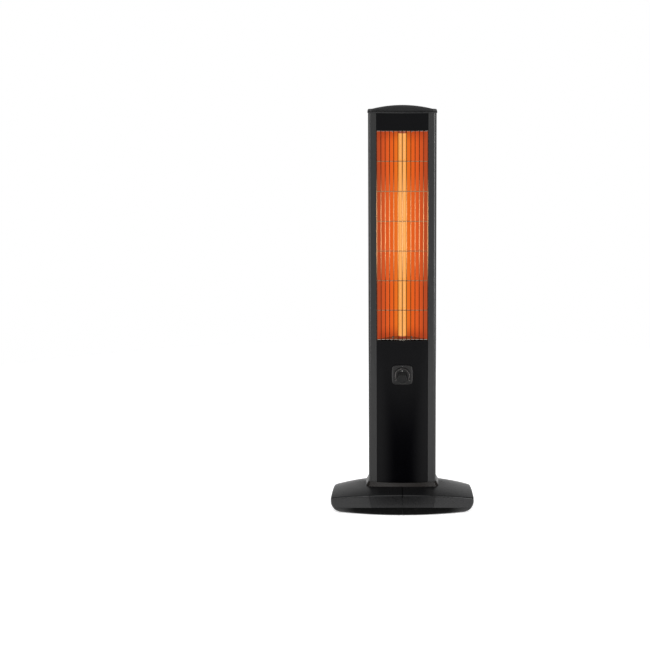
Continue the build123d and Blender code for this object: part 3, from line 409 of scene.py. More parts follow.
# Lacquered ABS sheet, polished: near black, so that only the lacquer's soft reflections show its bow.
PANEL_LACQUER = Finish(
    "gloss_black_lacquered_abs", "#020203", "#040406", Making.SPRAYED, 0.3, 9.0, 0.006,
    specular=0.0, coat=0.19, coat_roughness=0.16, spread=0.02,
)
# ABS, moulded and polished: a soft sheen with faint sink marks.
CAP_ABS = Finish("polished_black_abs", "#161617", "#131314", Making.MOULDED, 0.32, 6.0, 0.01, specular=0.25)
# The base's tongue and the hull's middle carry painted shade, and its seam a painted shadow.
BASE_ABS_PAINTED_SHADE = HullFinish(
    "moulded_black_abs_painted_shade", "#161617", "#131314", Making.MOULDED, 0.32, 2.4, 0.01, specular=0.42
)
COLLAR_ABS = Finish(
    "moulded_warm_black_abs", "#191513", "#151210", Making.MOULDED, 0.34, 3.0, 0.01, specular=0.16
)
# Steel sheet, powder coated: the orange peel scatters its highlights.
REAR_POWDER = Finish("black_powder_coated_steel", "#1d1d1e", "#161617", Making.SPRAYED, 0.5, 1.8, 0.12)
# Steel wire, drawn and chromed: mirrors the room in thin upright lines. The uprights' pale middle is a
# painted highlight and their brown ends are painted shade.
WIRE_PAINTED_REFLECTION = PaintedReflectionWireFinish(
    "chromed_drawn_wire_painted_reflection", "#cd9c6e", "#c09064", Making.DRAWN, 0.12, 0.8, 0.004,
    metallic=1.0, spread=0.03,
)
CHROME_WIRE = Finish(
    "chromed_drawn_steel_wire", "#b8b4ae", "#a8a298", Making.ROLLED, 0.14, 0.8, 0.004,
    metallic=1.0, spread=0.04,
)
# The same wire for the crosswires and weld beads: darker, with a brown tint.
WELDED_WIRE = Finish(
    "brown_tinted_drawn_wire", "#b29470", "#a1856a", Making.ROLLED, 0.22, 0.8, 0.006,
    metallic=1.0, spread=0.05,
)
# Aluminium strip, polished: the lamp's reflection that fills it is painted in as a glow.
MIRROR_ALUMINIUM_PAINTED_GLOW = PaintedGlowMirrorFinish(
    "polished_aluminium_painted_lamp_reflection", "#5a3018", "#4c2814", Making.EXTRUDED, 0.3, 1.6, 0.02, metallic=1.0
)
# Steel sheet and turned steel, zinc plated: grey-blue with a drifting yellow tint.
ZINC_STEEL = Finish(
    "zinc_plated_steel_sheet", "#9a9c9c", "#8d8a76", Making.ROLLED, 0.36, 1.5, 0.02, metallic=1.0
)
SCREW_STEEL = Finish(
    "zinc_plated_turned_steel", "#8f9090", "#7b7765", Making.MOULDED, 0.3, 0.5, 0.01, metallic=1.0
)
# Fused quartz, drawn as a tube and lit from within: its own light hides the glass.
HOT_QUARTZ = GlowingFinish(
    "lit_fused_quartz_tube", "#3a1c08", "#341a08", Making.DRAWN, 0.12, 1.5, 0.01, ior=1.46
)
HOT_TUNGSTEN = GlowingFinish(
    "hot_coiled_tungsten", "#c8742c", "#b86424", Making.DRAWN, 0.5, 0.5, 0.01,
    hot="#ffd890", cool="#7c2412", strength=1.4,
)
# Steatite, pressed and fired: chalky, with pale specks.
STEATITE = Finish("fired_steatite_ceramic", "#e0dacb", "#d2c9b6", Making.FIRED, 0.62, 1.2, 0.05)
# Brass, turned: warm yellow and bright.
BRASS = Finish("turned_brass", "#c8a35a", "#b48f48", Making.MOULDED, 0.28, 0.6, 0.01, metallic=1.0)
# Phenolic resin, pressed: brown-black and dull.
PHENOLIC = Finish("pressed_brown_phenolic", "#3a261a", "#2f1f16", Making.MOULDED, 0.55, 1.4, 0.04)
# ABS, moulded with a fine etch: satin and neutral. The bezel's paler flanks are a painted highlight.
BEZEL_ABS = BezelFinish(
    "satin_grey_abs_painted_highlight", "#191818", "#161515", Making.MOULDED, 0.3, 1.1, 0.004, specular=0.35
)
KNOB_ABS = Finish("satin_dark_grey_abs", "#121212", "#0f0f0f", Making.MOULDED, 0.3, 0.9, 0.004, specular=0.28)
# A chromed ring laid on the knob's rounded edge as a painted highlight: a grey mirror, bright only where it
# meets the side lamps.
CHROME_HIGHLIGHT_RING = Finish(
    "chromed_knob_highlight_ring", "#8a8684", "#7c7876", Making.MOULDED, 0.2, 0.5, 0.002,
    metallic=1.0, spread=0.03,
)
# Paint, pad printed or dabbed on: an even, slightly raised film.
MARK_PAINT = Finish("pad_printed_grey_paint", "#7c7a78", "#72706e", Making.SPRAYED, 0.5, 0.5, 0.01)
POINTER_PAINT = Finish("pale_enamel_paint", "#b4b4b2", "#aaaaa6", Making.SPRAYED, 0.35, 0.6, 0.01)
# Steel plate, dip painted: uneven and dull.
BALLAST_PAINT = Finish("black_painted_steel_plate", "#1c1c1c", "#242321", Making.SPRAYED, 0.55, 2.0, 0.15)
# Rubber, nylon and glass braid, moulded or woven: matt, so that they show form and no highlight.
FOOT_RUBBER = Finish("moulded_black_rubber", "#181817", "#222120", Making.MOULDED, 0.8, 0.8, 0.06, ior=1.52)
SWITCH_NYLON = Finish("moulded_black_nylon", "#1e1e1e", "#262626", Making.MOULDED, 0.5, 0.9, 0.03, ior=1.53)
BLOCK_NYLON = Finish("moulded_white_nylon", "#d8d6cc", "#cbc8bb", Making.MOULDED, 0.48, 1.2, 0.03, ior=1.53)
LEAD_SILICONE = Finish(
    "glass_braided_silicone_lead", "#c2b49a", "#a89a80", Making.FIRED, 0.7, 0.7, 0.12, ior=1.41
)


# ---------------------------------------------------------------- meshes
def dress(finish: Finish, *nodes: str) -> None:
    """Gives CAD nodes a finish.

    Args:
        finish: the finish.
        *nodes: the names of the CAD nodes.
    """
    for node in nodes:
        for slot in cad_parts[node].material_slots:
            slot.material = material_of(finish)
        log.info("dressed %s in %s", node, finish.name)


def mesh_from(name: str, points: Iterable[Sequence[float]], faces: Iterable[Sequence[int]] = ()) -> Mesh:
    """Makes a mesh from points and faces, with its faces turned outwards."""
    mesh = bpy.data.meshes.new(name)
    mesh.from_pydata(list(points), [], list(faces))
    shape = bmesh.new()
    shape.from_mesh(mesh)
    bmesh.ops.recalc_face_normals(shape, faces=shape.faces)
    shape.to_mesh(mesh)
    shape.free()
    return mesh


def linked(name: str, data: Camera | Light | Mesh) -> Object:
    """Puts a mesh, a lamp or a camera into the scene as an object at the origin."""
    thing = bpy.data.objects.new(name, data)
    bpy.context.scene.collection.objects.link(thing)
    return thing


def lathed(name: str, outline: Sequence[Row], sides: int) -> Mesh:
    """Turns an outline about Z.

    Args:
        name: the mesh's name.
        outline: (radius, height) points in millimetres, from the axis at the bottom to the axis at the top.
        sides: how many sides the turned shape has.

    Returns:
        A closed mesh.
    """
    points: list[Point] = []
    rings: list[list[int]] = []
    for radius, height in outline:
        count = sides if radius > 0 else 1
        rings.append([len(points) + step for step in range(count)])
        for step in range(count):
            turn = 2 * math.pi * step / sides
            points.append((radius * MM * math.cos(turn), radius * MM * math.sin(turn), height * MM))
    faces = []
    for below, above in zip(rings, rings[1:]):
        for step in range(sides):
            turns = ((below, step), (below, step + 1), (above, step + 1), (above, step))
            face = list(dict.fromkeys(ring[place % len(ring)] for ring, place in turns))
            if len(face) > 2:
                faces.append(face)
    return mesh_from(name, points, faces)


def plain_copy(host: Object) -> Mesh:
    """Returns what an object's modifiers make of it, as a plain mesh."""
    view = bpy.context.evaluated_depsgraph_get()
    view.update()
    return bpy.data.meshes.new_from_object(host.evaluated_get(view))


def solids_of(node: str) -> list[tuple[Vector, Vector]]:
    """Finds the separate solids of a CAD node.

    Args:
        node: the node's name.

    Returns:
        The lowest and highest corner of each solid.
    """
    shape = bmesh.new()
    shape.from_mesh(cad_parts[node].data)
    bmesh.ops.remove_doubles(shape, verts=shape.verts, dist=0.001 * MM)
    left = set(shape.verts)
    boxes = []
    while left:
        todo = [left.pop()]
        found = []
        while todo:
            corner = todo.pop()
            found.append(corner.co.copy())
            near = {edge.other_vert(corner) for edge in corner.link_edges} & left
            left -= near
            todo.extend(near)
        low, high = (Vector(pick(point[axis] for point in found) for axis in range(3)) for pick in (min, max))
        boxes.append((low, high))
    shape.free()
    return sorted(boxes, key=lambda box: (round(box[0].x, 5), round(box[0].y, 5)))


def seats_under(boxes: Iterable[tuple[Vector, Vector]], lift: float = 0.0) -> list[Point]:
    """Returns the middle of each box's underside, lifted by some height."""
    return [((low.x + high.x) / 2, (low.y + high.y) / 2, low.z + lift) for low, high in boxes]


# ---------------------------------------------------------------- geometry-node trees
THIN_WIRE_SIDES = 6
TURN_SEED = 7


class Socket(Enum):
    """Kinds of named inputs that the trees use."""

    COUNT = "NodeSocketInt"
    LENGTH = "NodeSocketFloat"
    PLACE = "NodeSocketVector"
    PIECE = "NodeSocketObject"
    FINISH = "NodeSocketMaterial"


def new_tree(name: str, sockets: dict[str, Socket]) -> tuple[NodeTree, Mapping[str, NodeSocket]]:
    """Starts a geometry tree with named inputs.

    Args:
        name: the tree's name.
        sockets: the inputs, after the geometry itself.

    Returns:
        The tree and the outputs that hold its named inputs.
    """
    tree = bpy.data.node_groups.new(name, "GeometryNodeTree")
    tree.interface.new_socket("Geometry", in_out="INPUT", socket_type="NodeSocketGeometry")
    for label, kind in sockets.items():
        tree.interface.new_socket(label, in_out="INPUT", socket_type=kind.value)
    tree.interface.new_socket("Geometry", in_out="OUTPUT", socket_type="NodeSocketGeometry")
    return tree, tree.nodes.new("NodeGroupInput").outputs


def close_tree(tree: NodeTree, kind: str, inputs: dict | Sequence, finish: NodeSocket) -> None:
    """Ends a tree.

    Args:
        tree: the tree.
        kind: the type name of its last shaping node.
        inputs: that node's inputs.
        finish: the output with the material.
    """
    add = partial(add_node, tree)
    real = add("GeometryNodeRealizeInstances", (add(kind, inputs),))
    smooth = add("GeometryNodeSetShadeSmooth", {"Geometry": real, "Shade Smooth": True})
    painted = add("GeometryNodeSetMaterial", {"Geometry": smooth, "Material": finish})
    add("NodeGroupOutput", (painted,))


def wire_along(tree: NodeTree, line: object, sides: object, radius: object) -> NodeSocket:
    """Sweeps a round section with closed ends along a curve and returns its output."""
    ring = add_node(tree, "GeometryNodeCurvePrimitiveCircle", (sides, radius))
    inputs = {"Curve": line, "Profile Curve": ring, "Fill Caps": True}
    return add_node(tree, "GeometryNodeCurveToMesh", inputs)


@cache
def rod_row_tree() -> NodeTree:
    """A row of round rods at a steady pitch."""
    tree, ask = new_tree(
        "row_of_rods",
        {
            "Rod Count": Socket.COUNT,
            "First Rod": Socket.PLACE,
            "Pitch": Socket.PLACE,
            "Lean": Socket.PLACE,
            "Rod Length": Socket.LENGTH,
            "Rod Radius": Socket.LENGTH,
            "Sides": Socket.COUNT,
            "Finish": Socket.FINISH,
        },
    )
    add = partial(add_node, tree)
    half = add(MATH, (ask["Rod Length"], 0.5), operation="MULTIPLY")
    top = add("ShaderNodeCombineXYZ", {"Z": half})
    below = add(MATH, (half, -1.0), operation="MULTIPLY")
    foot = add("ShaderNodeCombineXYZ", {"Z": below})
    axis = add("GeometryNodeCurvePrimitiveLine", (foot, top))
    rod = wire_along(tree, axis, ask["Sides"], ask["Rod Radius"])
    row = (ask["Rod Count"], ask["First Rod"], ask["Pitch"])
    spots = add("GeometryNodeMeshLine", row, mode="OFFSET")
    inputs = {"Points": spots, "Instance": rod, "Rotation": ask["Lean"]}
    close_tree(tree, "GeometryNodeInstanceOnPoints", inputs, ask["Finish"])
    return tree


@cache
def seat_tree() -> NodeTree:
    """One small piece seated on every point of a mesh, each turned a little about its own axis."""
    tree, ask = new_tree(
        "piece_on_every_seat",
        {
            "Piece": Socket.PIECE,
            "Lean": Socket.PLACE,
            "Most Turn": Socket.LENGTH,
            "Seed": Socket.COUNT,
            "Finish": Socket.FINISH,
        },
    )
    add = partial(add_node, tree)
    piece = add("GeometryNodeObjectInfo", (ask["Piece"],)).node.outputs["Geometry"]
    inputs = {"Points": ask["Geometry"], "Instance": piece, "Rotation": ask["Lean"]}
    seated = add("GeometryNodeInstanceOnPoints", inputs)
    inputs = {"Max": ask["Most Turn"], "Seed": ask["Seed"]}
    turn = add("FunctionNodeRandomValue", inputs, data_type="FLOAT")
    spin = add("ShaderNodeCombineXYZ", {"Z": turn})
    inputs = {"Instances": seated, "Rotation": spin, "Local Space": True}
    close_tree(tree, "GeometryNodeRotateInstances", inputs, ask["Finish"])
    return tree


@cache
def coil_tree() -> NodeTree:
    """A round wire wound into an upright coil."""
    tree, ask = new_tree(
        "wound_coil",
        {
            "Foot": Socket.PLACE,
            "Turns": Socket.LENGTH,
            "Coil Height": Socket.LENGTH,
            "Coil Radius": Socket.LENGTH,
            "Wire Radius": Socket.LENGTH,
            "Steps": Socket.COUNT,
            "Finish": Socket.FINISH,
        },
    )
    winding = [ask[label] for label in ("Steps", "Turns", "Coil Radius", "Coil Radius", "Coil Height")]
    line = add_node(tree, "GeometryNodeCurveSpiral", winding)
    wire = wire_along(tree, line, THIN_WIRE_SIDES, ask["Wire Radius"])
    close_tree(tree, "GeometryNodeTransform", (wire, ask["Foot"]), ask["Finish"])
    return tree


def grown(name: str, tree: NodeTree, inputs: dict, seats: Iterable[Point] = ()) -> Object:
    """Runs a geometry tree once.

    Args:
        name: the new piece's name.
        tree: the tree.
        inputs: a value for each of the tree's named inputs.
        seats: the points that the tree starts from, if it needs any.

    Returns:
        The result as an object with a plain mesh and no modifier.
    """
    host = linked(name, mesh_from(name, seats))
    modifier = host.modifiers.new("grown", "NODES")
    modifier.node_group = tree
    for item in tree.interface.items_tree:
        if item.in_out == "INPUT" and item.name in inputs:
            modifier[item.identifier] = inputs[item.name]
    result = plain_copy(host)
    host.modifiers.remove(modifier)
    host.data = result
    return host


def seated(
    name: str, shape: Mesh, seats: Sequence[Point], lean: Point, finish: Finish, turn: float = 0.0
) -> Object:
    """Seats a copy of one shape on every point.

    Args:
        name: the new piece's name.
        shape: the shape, which stands on its seat along Z.
        seats: the points.
        lean: how the shape is laid on its seat.
        finish: the finish of all copies.
        turn: the most that a copy is turned about its own axis, in radians.

    Returns:
        All copies as one object.
    """
    model = linked(name + "_model", shape)
    inputs = {"Piece": model, "Lean": lean, "Most Turn": turn, "Seed": TURN_SEED}
    piece = grown(name, seat_tree(), inputs | {"Finish": material_of(finish)}, seats)
    bpy.data.objects.remove(model)
    return piece


def settle(piece: Object, body: str, slot: str, *nodes: str) -> None:
    """Hangs a finished piece on the body that it rides on and hides the CAD nodes that it stands for; its
    slot is not used.
    """
    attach(piece, body)
    if nodes:
        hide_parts(*nodes)
    log.info("built %s with %d faces", piece.name, len(piece.data.polygons))


# How a shape that was made along Z is laid on its seat, in radians about X, Y and Z.
DOWN_TO_FRONT: Point = (math.pi / 2, 0.0, 0.0)
UPSIDE_DOWN: Point = (math.pi, 0.0, 0.0)
UPRIGHT: Point = (0.0, 0.0, 0.0)
LYING: Point = (0.0, math.pi / 2, 0.0)


# ---------------------------------------------------------------- sub-assemblies
@dataclass
class Column:
    """The extruded tower, its panels and its cap."""

    def build(self) -> None:
        """Dresses the tower's rails, panels, cap and rear cover, its sheet-metal inside and its screws."""
        dress(RAIL_ALUMINIUM, "side_profile_left", "side_profile_right")
        dress(PANEL_LACQUER, "upper_front_panel", "lower_front_panel")
        dress(CAP_ABS, "top_cap")
        dress(REAR_POWDER, "rear_cover")
        dress(ZINC_STEEL, "top_plate", "heat_shield", "end_plate_lower", "end_plate_upper")
        dress(SCREW_STEEL, "frame_screws", "socket_screws")


@dataclass
class Guard:
    """The welded wire guard before the lamp."""

    uprights: int = 13
    crosswires: int = 8
    upright_radius: float = 1.0 * MM
    cross_radius: float = 1.1 * MM
    end_reach: float = 3.4 * MM
    sides: int = 20
    weld_radius: float = 1.2
    weld_swell: float = 0.35
    weld_shoulder: float = 0.7
    weld_sides: int = 10

    def wires(self, name: str, count: int, first: Point, pitch: Point, length: float, finish: Finish) -> None:
        """Builds one row of wires, which stand where their pitch runs across and lie where it runs up.

        Args:
            name: the piece's name.
            count: how many wires the row has.
            first: the middle of the first wire.
            pitch: the way from each wire to the next.
            length: the wires' length.
            finish: their finish.
        """
        standing = pitch[0] > 0
        inputs = {
            "Rod Count": count,
            "First Rod": first,
            "Pitch": pitch,
            "Lean": UPRIGHT if standing else LYING,
            "Rod Length": length,
            "Rod Radius": self.upright_radius if standing else self.cross_radius,
            "Sides": self.sides,
            "Finish": material_of(finish),
        }
        replaced = ("wire_guard",) if standing else ()
        settle(grown(name, rod_row_tree(), inputs), "tower", "guard_wire", *replaced)

    def build(self) -> None:
        """Builds the uprights, the crosswires and the weld beads where they cross."""
        low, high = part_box("wire_guard")
        reach = high.x - self.end_reach
        upright_y = low.y + self.upright_radius
        cross_y = high.y - self.cross_radius
        foot = low.z + self.cross_radius
        rise = high.z - low.z - 2 * self.cross_radius
        step = rise / (self.crosswires - 1)
        across = (2 * reach / (self.uprights - 1), 0.0, 0.0)
        first = (-reach, upright_y, (low.z + high.z) / 2)
        width = high.x - low.x
        self.wires("guard_uprights", self.uprights, first, across, high.z - low.z, WIRE_PAINTED_REFLECTION)
        first = (0.0, cross_y, foot + step)
        self.wires("guard_crosswires", self.crosswires - 2, first, (0.0, 0.0, step), width, WELDED_WIRE)
        self.wires("guard_end_wires", 2, (0.0, cross_y, foot), (0.0, 0.0, rise), width, CHROME_WIRE)
        radius, side = self.weld_radius, self.weld_shoulder * self.weld_radius
        swell = radius + self.weld_swell
        outline = ((0.0, -radius), (side, -side), (swell, 0.0), (side, side), (0.0, radius))
        spots = [
            (-reach + column * across[0], (upright_y + cross_y) / 2, foot + row * step)
            for column in range(self.uprights)
            for row in range(self.crosswires)
        ]
        bead = lathed("bead", outline, self.weld_sides)
        settle(seated("guard_welds", bead, spots, DOWN_TO_FRONT, WELDED_WIRE), "tower", "guard_wire")


@dataclass
class Lamp:
    """The quartz lamp, its coil and sockets, and the trough that throws its heat forward."""

    coil_radius: float = 1.25 * MM
    coil_wire: float = 0.3 * MM
    coil_pitch: float = 3.0 * MM
    coil_steps: int = 12
    supports: int = 12
    support_radius: float = 8.4
    support_wire: float = 0.35
    support_sides: int = 24

    def build(self) -> None:
        """Builds the coil and its supports inside the tube and dresses the rest."""
        low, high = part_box("filament")
        centre = (low + high) / 2
        height = high.z - low.z
        inputs = {
            "Foot": (centre.x, centre.y, low.z),
            "Turns": height / self.coil_pitch,
            "Coil Height": height,
            "Coil Radius": self.coil_radius,
            "Wire Radius": self.coil_wire,
            "Steps": self.coil_steps,
            "Finish": material_of(HOT_TUNGSTEN),
        }
        settle(grown("filament_coil", coil_tree(), inputs), "tower", "hot_filament", "filament")
        radius, wire = self.support_radius, self.support_wire
        outline = ((0.0, -wire), (radius - wire, -wire), (radius, 0.0), (radius - wire, wire), (0.0, wire))
        pitch = height / self.supports
        spots = [(centre.x, centre.y, low.z + (index + 0.5) * pitch) for index in range(self.supports)]
        disc = lathed("support", outline, self.support_sides)
        settle(seated("filament_supports", disc, spots, UPRIGHT, HOT_TUNGSTEN), "tower", "hot_filament")
        dress(HOT_QUARTZ, "quartz_tube")
        dress(MIRROR_ALUMINIUM_PAINTED_GLOW, "reflector")
        dress(STEATITE, "lamp_socket_lower", "lamp_socket_upper")
        dress(BRASS, "terminal_pins")
        dress(PHENOLIC, "thermal_cutout")


@dataclass
class Dial:
    """The power dial: bezel, knob and their painted marks."""

    mark_radius: float = 0.75
    mark_height: float = 0.12
    mark_circle: float = 21.7
    end_angle: float = 128.0
    fine_radius: float = 0.45
    fine_pitch: float = 11.5
    fine_count: int = 5
    dot_radius: float = 1.05
    dot_height: float = 0.3
    dot_offset: float = 11.4
    dome_sides: int = 20
    skirt_depth: float = 8.0
    ring_radius: float = 17.2
    ring_wire: float = 0.5
    ring_set_back: float = 0.55
    ring_steps: int = 96

    def edge_highlight_ring(self, skirt_y: float, middle_z: float) -> None:
        """Lays a thin chromed ring on the rounded front edge of the knob's skirt, a painted highlight of that
        edge.
        """
        inputs = {
            "Foot": (0.0, 0.0, 0.0),
            "Turns": 1.0,
            "Coil Height": 0.0,
            "Coil Radius": self.ring_radius * MM,
            "Wire Radius": self.ring_wire * MM,
            "Steps": self.ring_steps,
            "Finish": material_of(CHROME_HIGHLIGHT_RING),
        }
        ring = grown("knob_skirt_ring", coil_tree(), inputs)
        spot = Vector((0.0, skirt_y + self.ring_set_back * MM, middle_z))
        ring.data.transform(Matrix.Translation(spot) @ Matrix.Rotation(math.pi / 2, 4, "X"))
        settle(ring, "knob", "knob_grey")

    def ring_spot(self, angle: float, centre: Vector, face_y: float) -> Point:
        """Returns a point on the marks' circle, at an angle in degrees from its top."""
        turn = math.radians(angle)
        radius = self.mark_circle * MM
        return (centre.x + radius * math.sin(turn), face_y, centre.z + radius * math.cos(turn))

    def dome(self, radius: float, height: float) -> Mesh:
        """Makes a low dome of paint, sunk a little into its seat."""
        shoulder = (0.7 * radius, 0.8 * height)
        outline = ((0.0, -height), (radius, -height), (radius, 0.3 * height), shoulder, (0.0, height))
        return lathed("paint_dome", outline, self.dome_sides)

    def build(self) -> None:
        """Adds the marks and the pointer dot, and dresses the dial."""
        low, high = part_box("dial_bezel")
        fine_start = 180.0 - self.fine_pitch * (self.fine_count - 1) / 2
        fine_angles = [fine_start + self.fine_pitch * step for step in range(self.fine_count)]
        rows = (
            ("dial_marks", self.mark_radius, [0.0, self.end_angle, -self.end_angle]),
            ("dial_scale", self.fine_radius, fine_angles),
        )
        for name, radius, angles in rows:
            spots = [self.ring_spot(angle, (low + high) / 2, low.y) for angle in angles]
            marks = seated(name, self.dome(radius, self.mark_height), spots, DOWN_TO_FRONT, MARK_PAINT)
            settle(marks, "tower", "bezel_grey")
        low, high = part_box("control_knob")
        middle_z = (low.z + high.z) / 2
        skirt_y = high.y - self.skirt_depth * MM
        self.edge_highlight_ring(skirt_y, middle_z)
        spot = (0.0, skirt_y, middle_z + self.dot_offset * MM)
        dome = self.dome(self.dot_radius, self.dot_height)
        settle(seated("pointer_dot", dome, [spot], DOWN_TO_FRONT, POINTER_PAINT), "knob", "knob_grey")
        dress(BEZEL_ABS, "dial_bezel")
        dress(KNOB_ABS, "control_knob")
        dress(PHENOLIC, "power_regulator")
        dress(ZINC_STEEL, "regulator_nut", "regulator_shaft")


@dataclass
class Base:
    """The winged base on its ballast plate, with its screws and feet."""

    head_radius: float = 3.6
    head_height: float = 2.28
    shank_radius: float = 1.9
    thread_pitch: float = 0.8
    thread_depth: float = 0.25
    recess_half: float = 1.9
    recess_width: float = 0.42
    recess_depth: float = 1.3
    recess_taper: float = 0.6
    driver_rise: float = 1.0
    screw_sides: int = 24
    foot_radius: float = 11.0
    foot_height: float = 6.0
    foot_groove: float = 0.7
    foot_sides: int = 48
    stem_radius: float = 3.0
    barb_radius: float = 3.8
    tip_radius: float = 2.2
    rib_count: int = 4
    rib_depth: float = 0.35
    lip_half: float = 4.0
    lip_thickness: float = 0.8
    lip_heights: tuple[float, ...] = (2.0, 4.0, 7.4, 13.0, 20.0, 28.0)
    front_lip: tuple[float, ...] = (-87.2, -88.8, -90.2, -91.6, -92.6, -93.0)
    rear_lip: tuple[float, ...] = (86.0, 87.6, 89.0, 90.4, 91.3, 91.7)

    def screw(self, length: float) -> Mesh:
        """Makes a pan-head screw with a cross recess.

        Args:
            length: the shank's length in millimetres.

        Returns:
            The screw, its head's underside at the origin and the head along +Z.
        """
        core = self.shank_radius - self.thread_depth
        outline = [(0.0, -length), (self.shank_radius - 2 * self.thread_depth, -length)]
        for turn in range(int((length - 1.0) / self.thread_pitch)):
            foot = -length + (turn + 0.3) * self.thread_pitch
            outline += [(core, foot), (self.shank_radius, foot + 0.5 * self.thread_pitch)]
        outline.append((core, 0.0))
        head, top = self.head_radius, self.head_height
        outline += [(head, 0.0), (head, 0.45 * top), (0.92 * head, 0.78 * top)]
        outline += [(0.7 * head, 0.96 * top), (0.0, top)]
        screw = linked("screw_blank", lathed("screw", outline, self.screw_sides))
        cutter = linked("screw_driver", self.cross_prism())
        cut = screw.modifiers.new("recess", "BOOLEAN")
        cut.operation = "DIFFERENCE"
        cut.object = cutter
        shape = plain_copy(screw)
        bpy.data.objects.remove(screw)
        bpy.data.objects.remove(cutter)
        return shape

    def cross_prism(self) -> Mesh:
        """Makes the cross-shaped driver that cuts a screw's recess, narrower at its tip."""
        long, wide = self.recess_half, self.recess_width
        quarter = [(long, -wide), (long, wide), (wide, wide)]
        turns = [Matrix.Rotation(step * math.pi / 2, 2) for step in range(4)]
        plan = [turn @ Vector(point) for turn in turns for point in quarter]
        tip, top = self.head_height - self.recess_depth, self.head_height + self.driver_rise
        rings = ((self.recess_taper * MM, tip), (MM, top))
        points = [(spot.x * scale, spot.y * scale, height * MM) for scale, height in rings for spot in plan]
        count = len(plan)
        faces = [list(range(count)), list(range(count, 2 * count))]
        for step in range(count):
            after = (step + 1) % count
            faces.append([step, after, after + count, step + count])
        return mesh_from("driver", points, faces)

    def screws(self, node: str) -> None:
        """Builds the screws that stand for one CAD node, each in its own pocket."""
        boxes = solids_of(node)
        head = self.head_height * MM
        length = (boxes[0][1].z - boxes[0][0].z - head) / MM
        name, spots = node + "_cross_head", seats_under(boxes, head)
        piece = seated(name, self.screw(length), spots, UPSIDE_DOWN, SCREW_STEEL, turn=math.pi / 2)
        settle(piece, "tower", "screw_steel", node)

    def feet(self) -> None:
        """Builds the rubber feet, with ribbed sides and a grooved sole."""
        boxes = solids_of("rubber_feet")
        top = (boxes[0][1].z - boxes[0][0].z) / MM
        outer, height, groove = self.foot_radius, self.foot_height, self.foot_groove
        outline = [(0.0, groove), (2.2, groove), (2.6, 0.0), (5.0, 0.0), (5.4, groove), (6.6, groove)]
        outline += [(7.0, 0.0), (outer - 1.2, 0.0), (outer - 0.3, 0.6)]
        valley = outer - self.rib_depth
        for rib in range(self.rib_count):
            foot = 0.9 + rib * (height - 1.2) / self.rib_count
            outline += [(outer, foot), (outer, foot + 0.6), (valley, foot + 0.75), (valley, foot + 1.05)]
        barb = height + 6.0
        outline += [(outer, height - 0.3), (outer, height), (self.stem_radius, height)]
        outline += [(self.stem_radius, barb), (self.barb_radius, barb), (self.tip_radius, top), (0.0, top)]
        pad = lathed("foot", outline, self.foot_sides)
        pads = seated("foot_pads", pad, seats_under(boxes), UPRIGHT, FOOT_RUBBER)
        settle(pads, "tower", "foot_rubber", "rubber_feet")

    def seam_lips(self) -> None:
        """Builds the lips behind the seam, which keep light out of the gap between the halves."""
        points: list[Point] = []
        faces: list[Sequence[int]] = []
        for depths in (self.front_lip, self.rear_lip):
            line = list(zip(depths, self.lip_heights))
            inwards = math.copysign(self.lip_thickness, -depths[0])
            section = line + [(y + inwards, z) for y, z in reversed(line)]
            first, count = len(points), len(section)
            points += [(side * self.lip_half * MM, y * MM, z * MM) for side in (-1, 1) for y, z in section]
            for step in range(count):
                near, after = first + step, first + (step + 1) % count
                faces.append((near, after, after + count, near + count))
            for start in (first, first + count):
                rungs = [(start + step, start + count - 1 - step) for step in range(count // 2)]
                faces += [(low[0], high[0], high[1], low[1]) for low, high in zip(rungs, rungs[1:])]
        lips = linked("seam_lips", mesh_from("seam_lips", points, faces))
        lips.data.materials.append(material_of(SWITCH_NYLON))
        settle(lips, "tower", "base_black")

    def build(self) -> None:
        """Builds the base's screws, feet and seam lips and dresses its shells."""
        self.screws("base_screws")
        self.screws("column_screws")
        self.feet()
        self.seam_lips()
        dress(BASE_ABS_PAINTED_SHADE, "base_half_left", "base_half_right")
        dress(COLLAR_ABS, "base_collar")
        dress(BALLAST_PAINT, "ballast_plate")
        dress(FOOT_RUBBER, "cable_gland")
        dress(SCREW_STEEL, "earth_screw")


@dataclass
class Innards:
    """The tip-over switch, the terminal block and the inner leads."""

    def spring(self) -> None:
        """Copies the switch's spring, which sits between its body and its plunger, with a steel finish, and
        hides its CAD node.
        """
        node = "plunger_spring"
        spring = linked("switch_spring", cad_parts[node].data.copy())
        spring.data.materials.clear()
        spring.data.materials.append(material_of(SCREW_STEEL))
        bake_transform(spring)
        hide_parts(node)
        log.info("built %s with %d faces", spring.name, len(spring.data.polygons))

    def build(self) -> None:
        """Adds the spring and dresses the pieces that the housing hides."""
        self.spring()
        dress(SWITCH_NYLON, "tip_switch_body", "tip_plunger")
        dress(BLOCK_NYLON, "terminal_block")
        dress(LEAD_SILICONE, "upper_lead", "lower_lead", "supply_lead")


# ---------------------------------------------------------------- the studio
WHITE = "#ffffff"
TOWER_MIDDLE: Point = (0.0, 0.0, 0.5)
TOWER_FOOT: Point = (0.0, 0.0, 0.1)


@dataclass(frozen=True)
class SoftLamp:
    """A rectangular lamp that the camera doesn't see: its sizes in metres and its power in watts."""

    name: str
    place: Point
    aim: Point
    width: float
    height: float
    power: float

    def build(self) -> None:
        """Hangs the lamp at its place, turned towards its aim."""
        data = bpy.data.lights.new(self.name, "AREA")
        data.shape = "RECTANGLE"
        data.size = self.width
        data.size_y = self.height
        data.energy = self.power
        lamp = linked(self.name, data)
        lamp.location = self.place
        lamp.rotation_euler = (Vector(self.aim) - Vector(self.place)).to_track_quat("-Z", "Y").to_euler()
        lamp.visible_camera = False


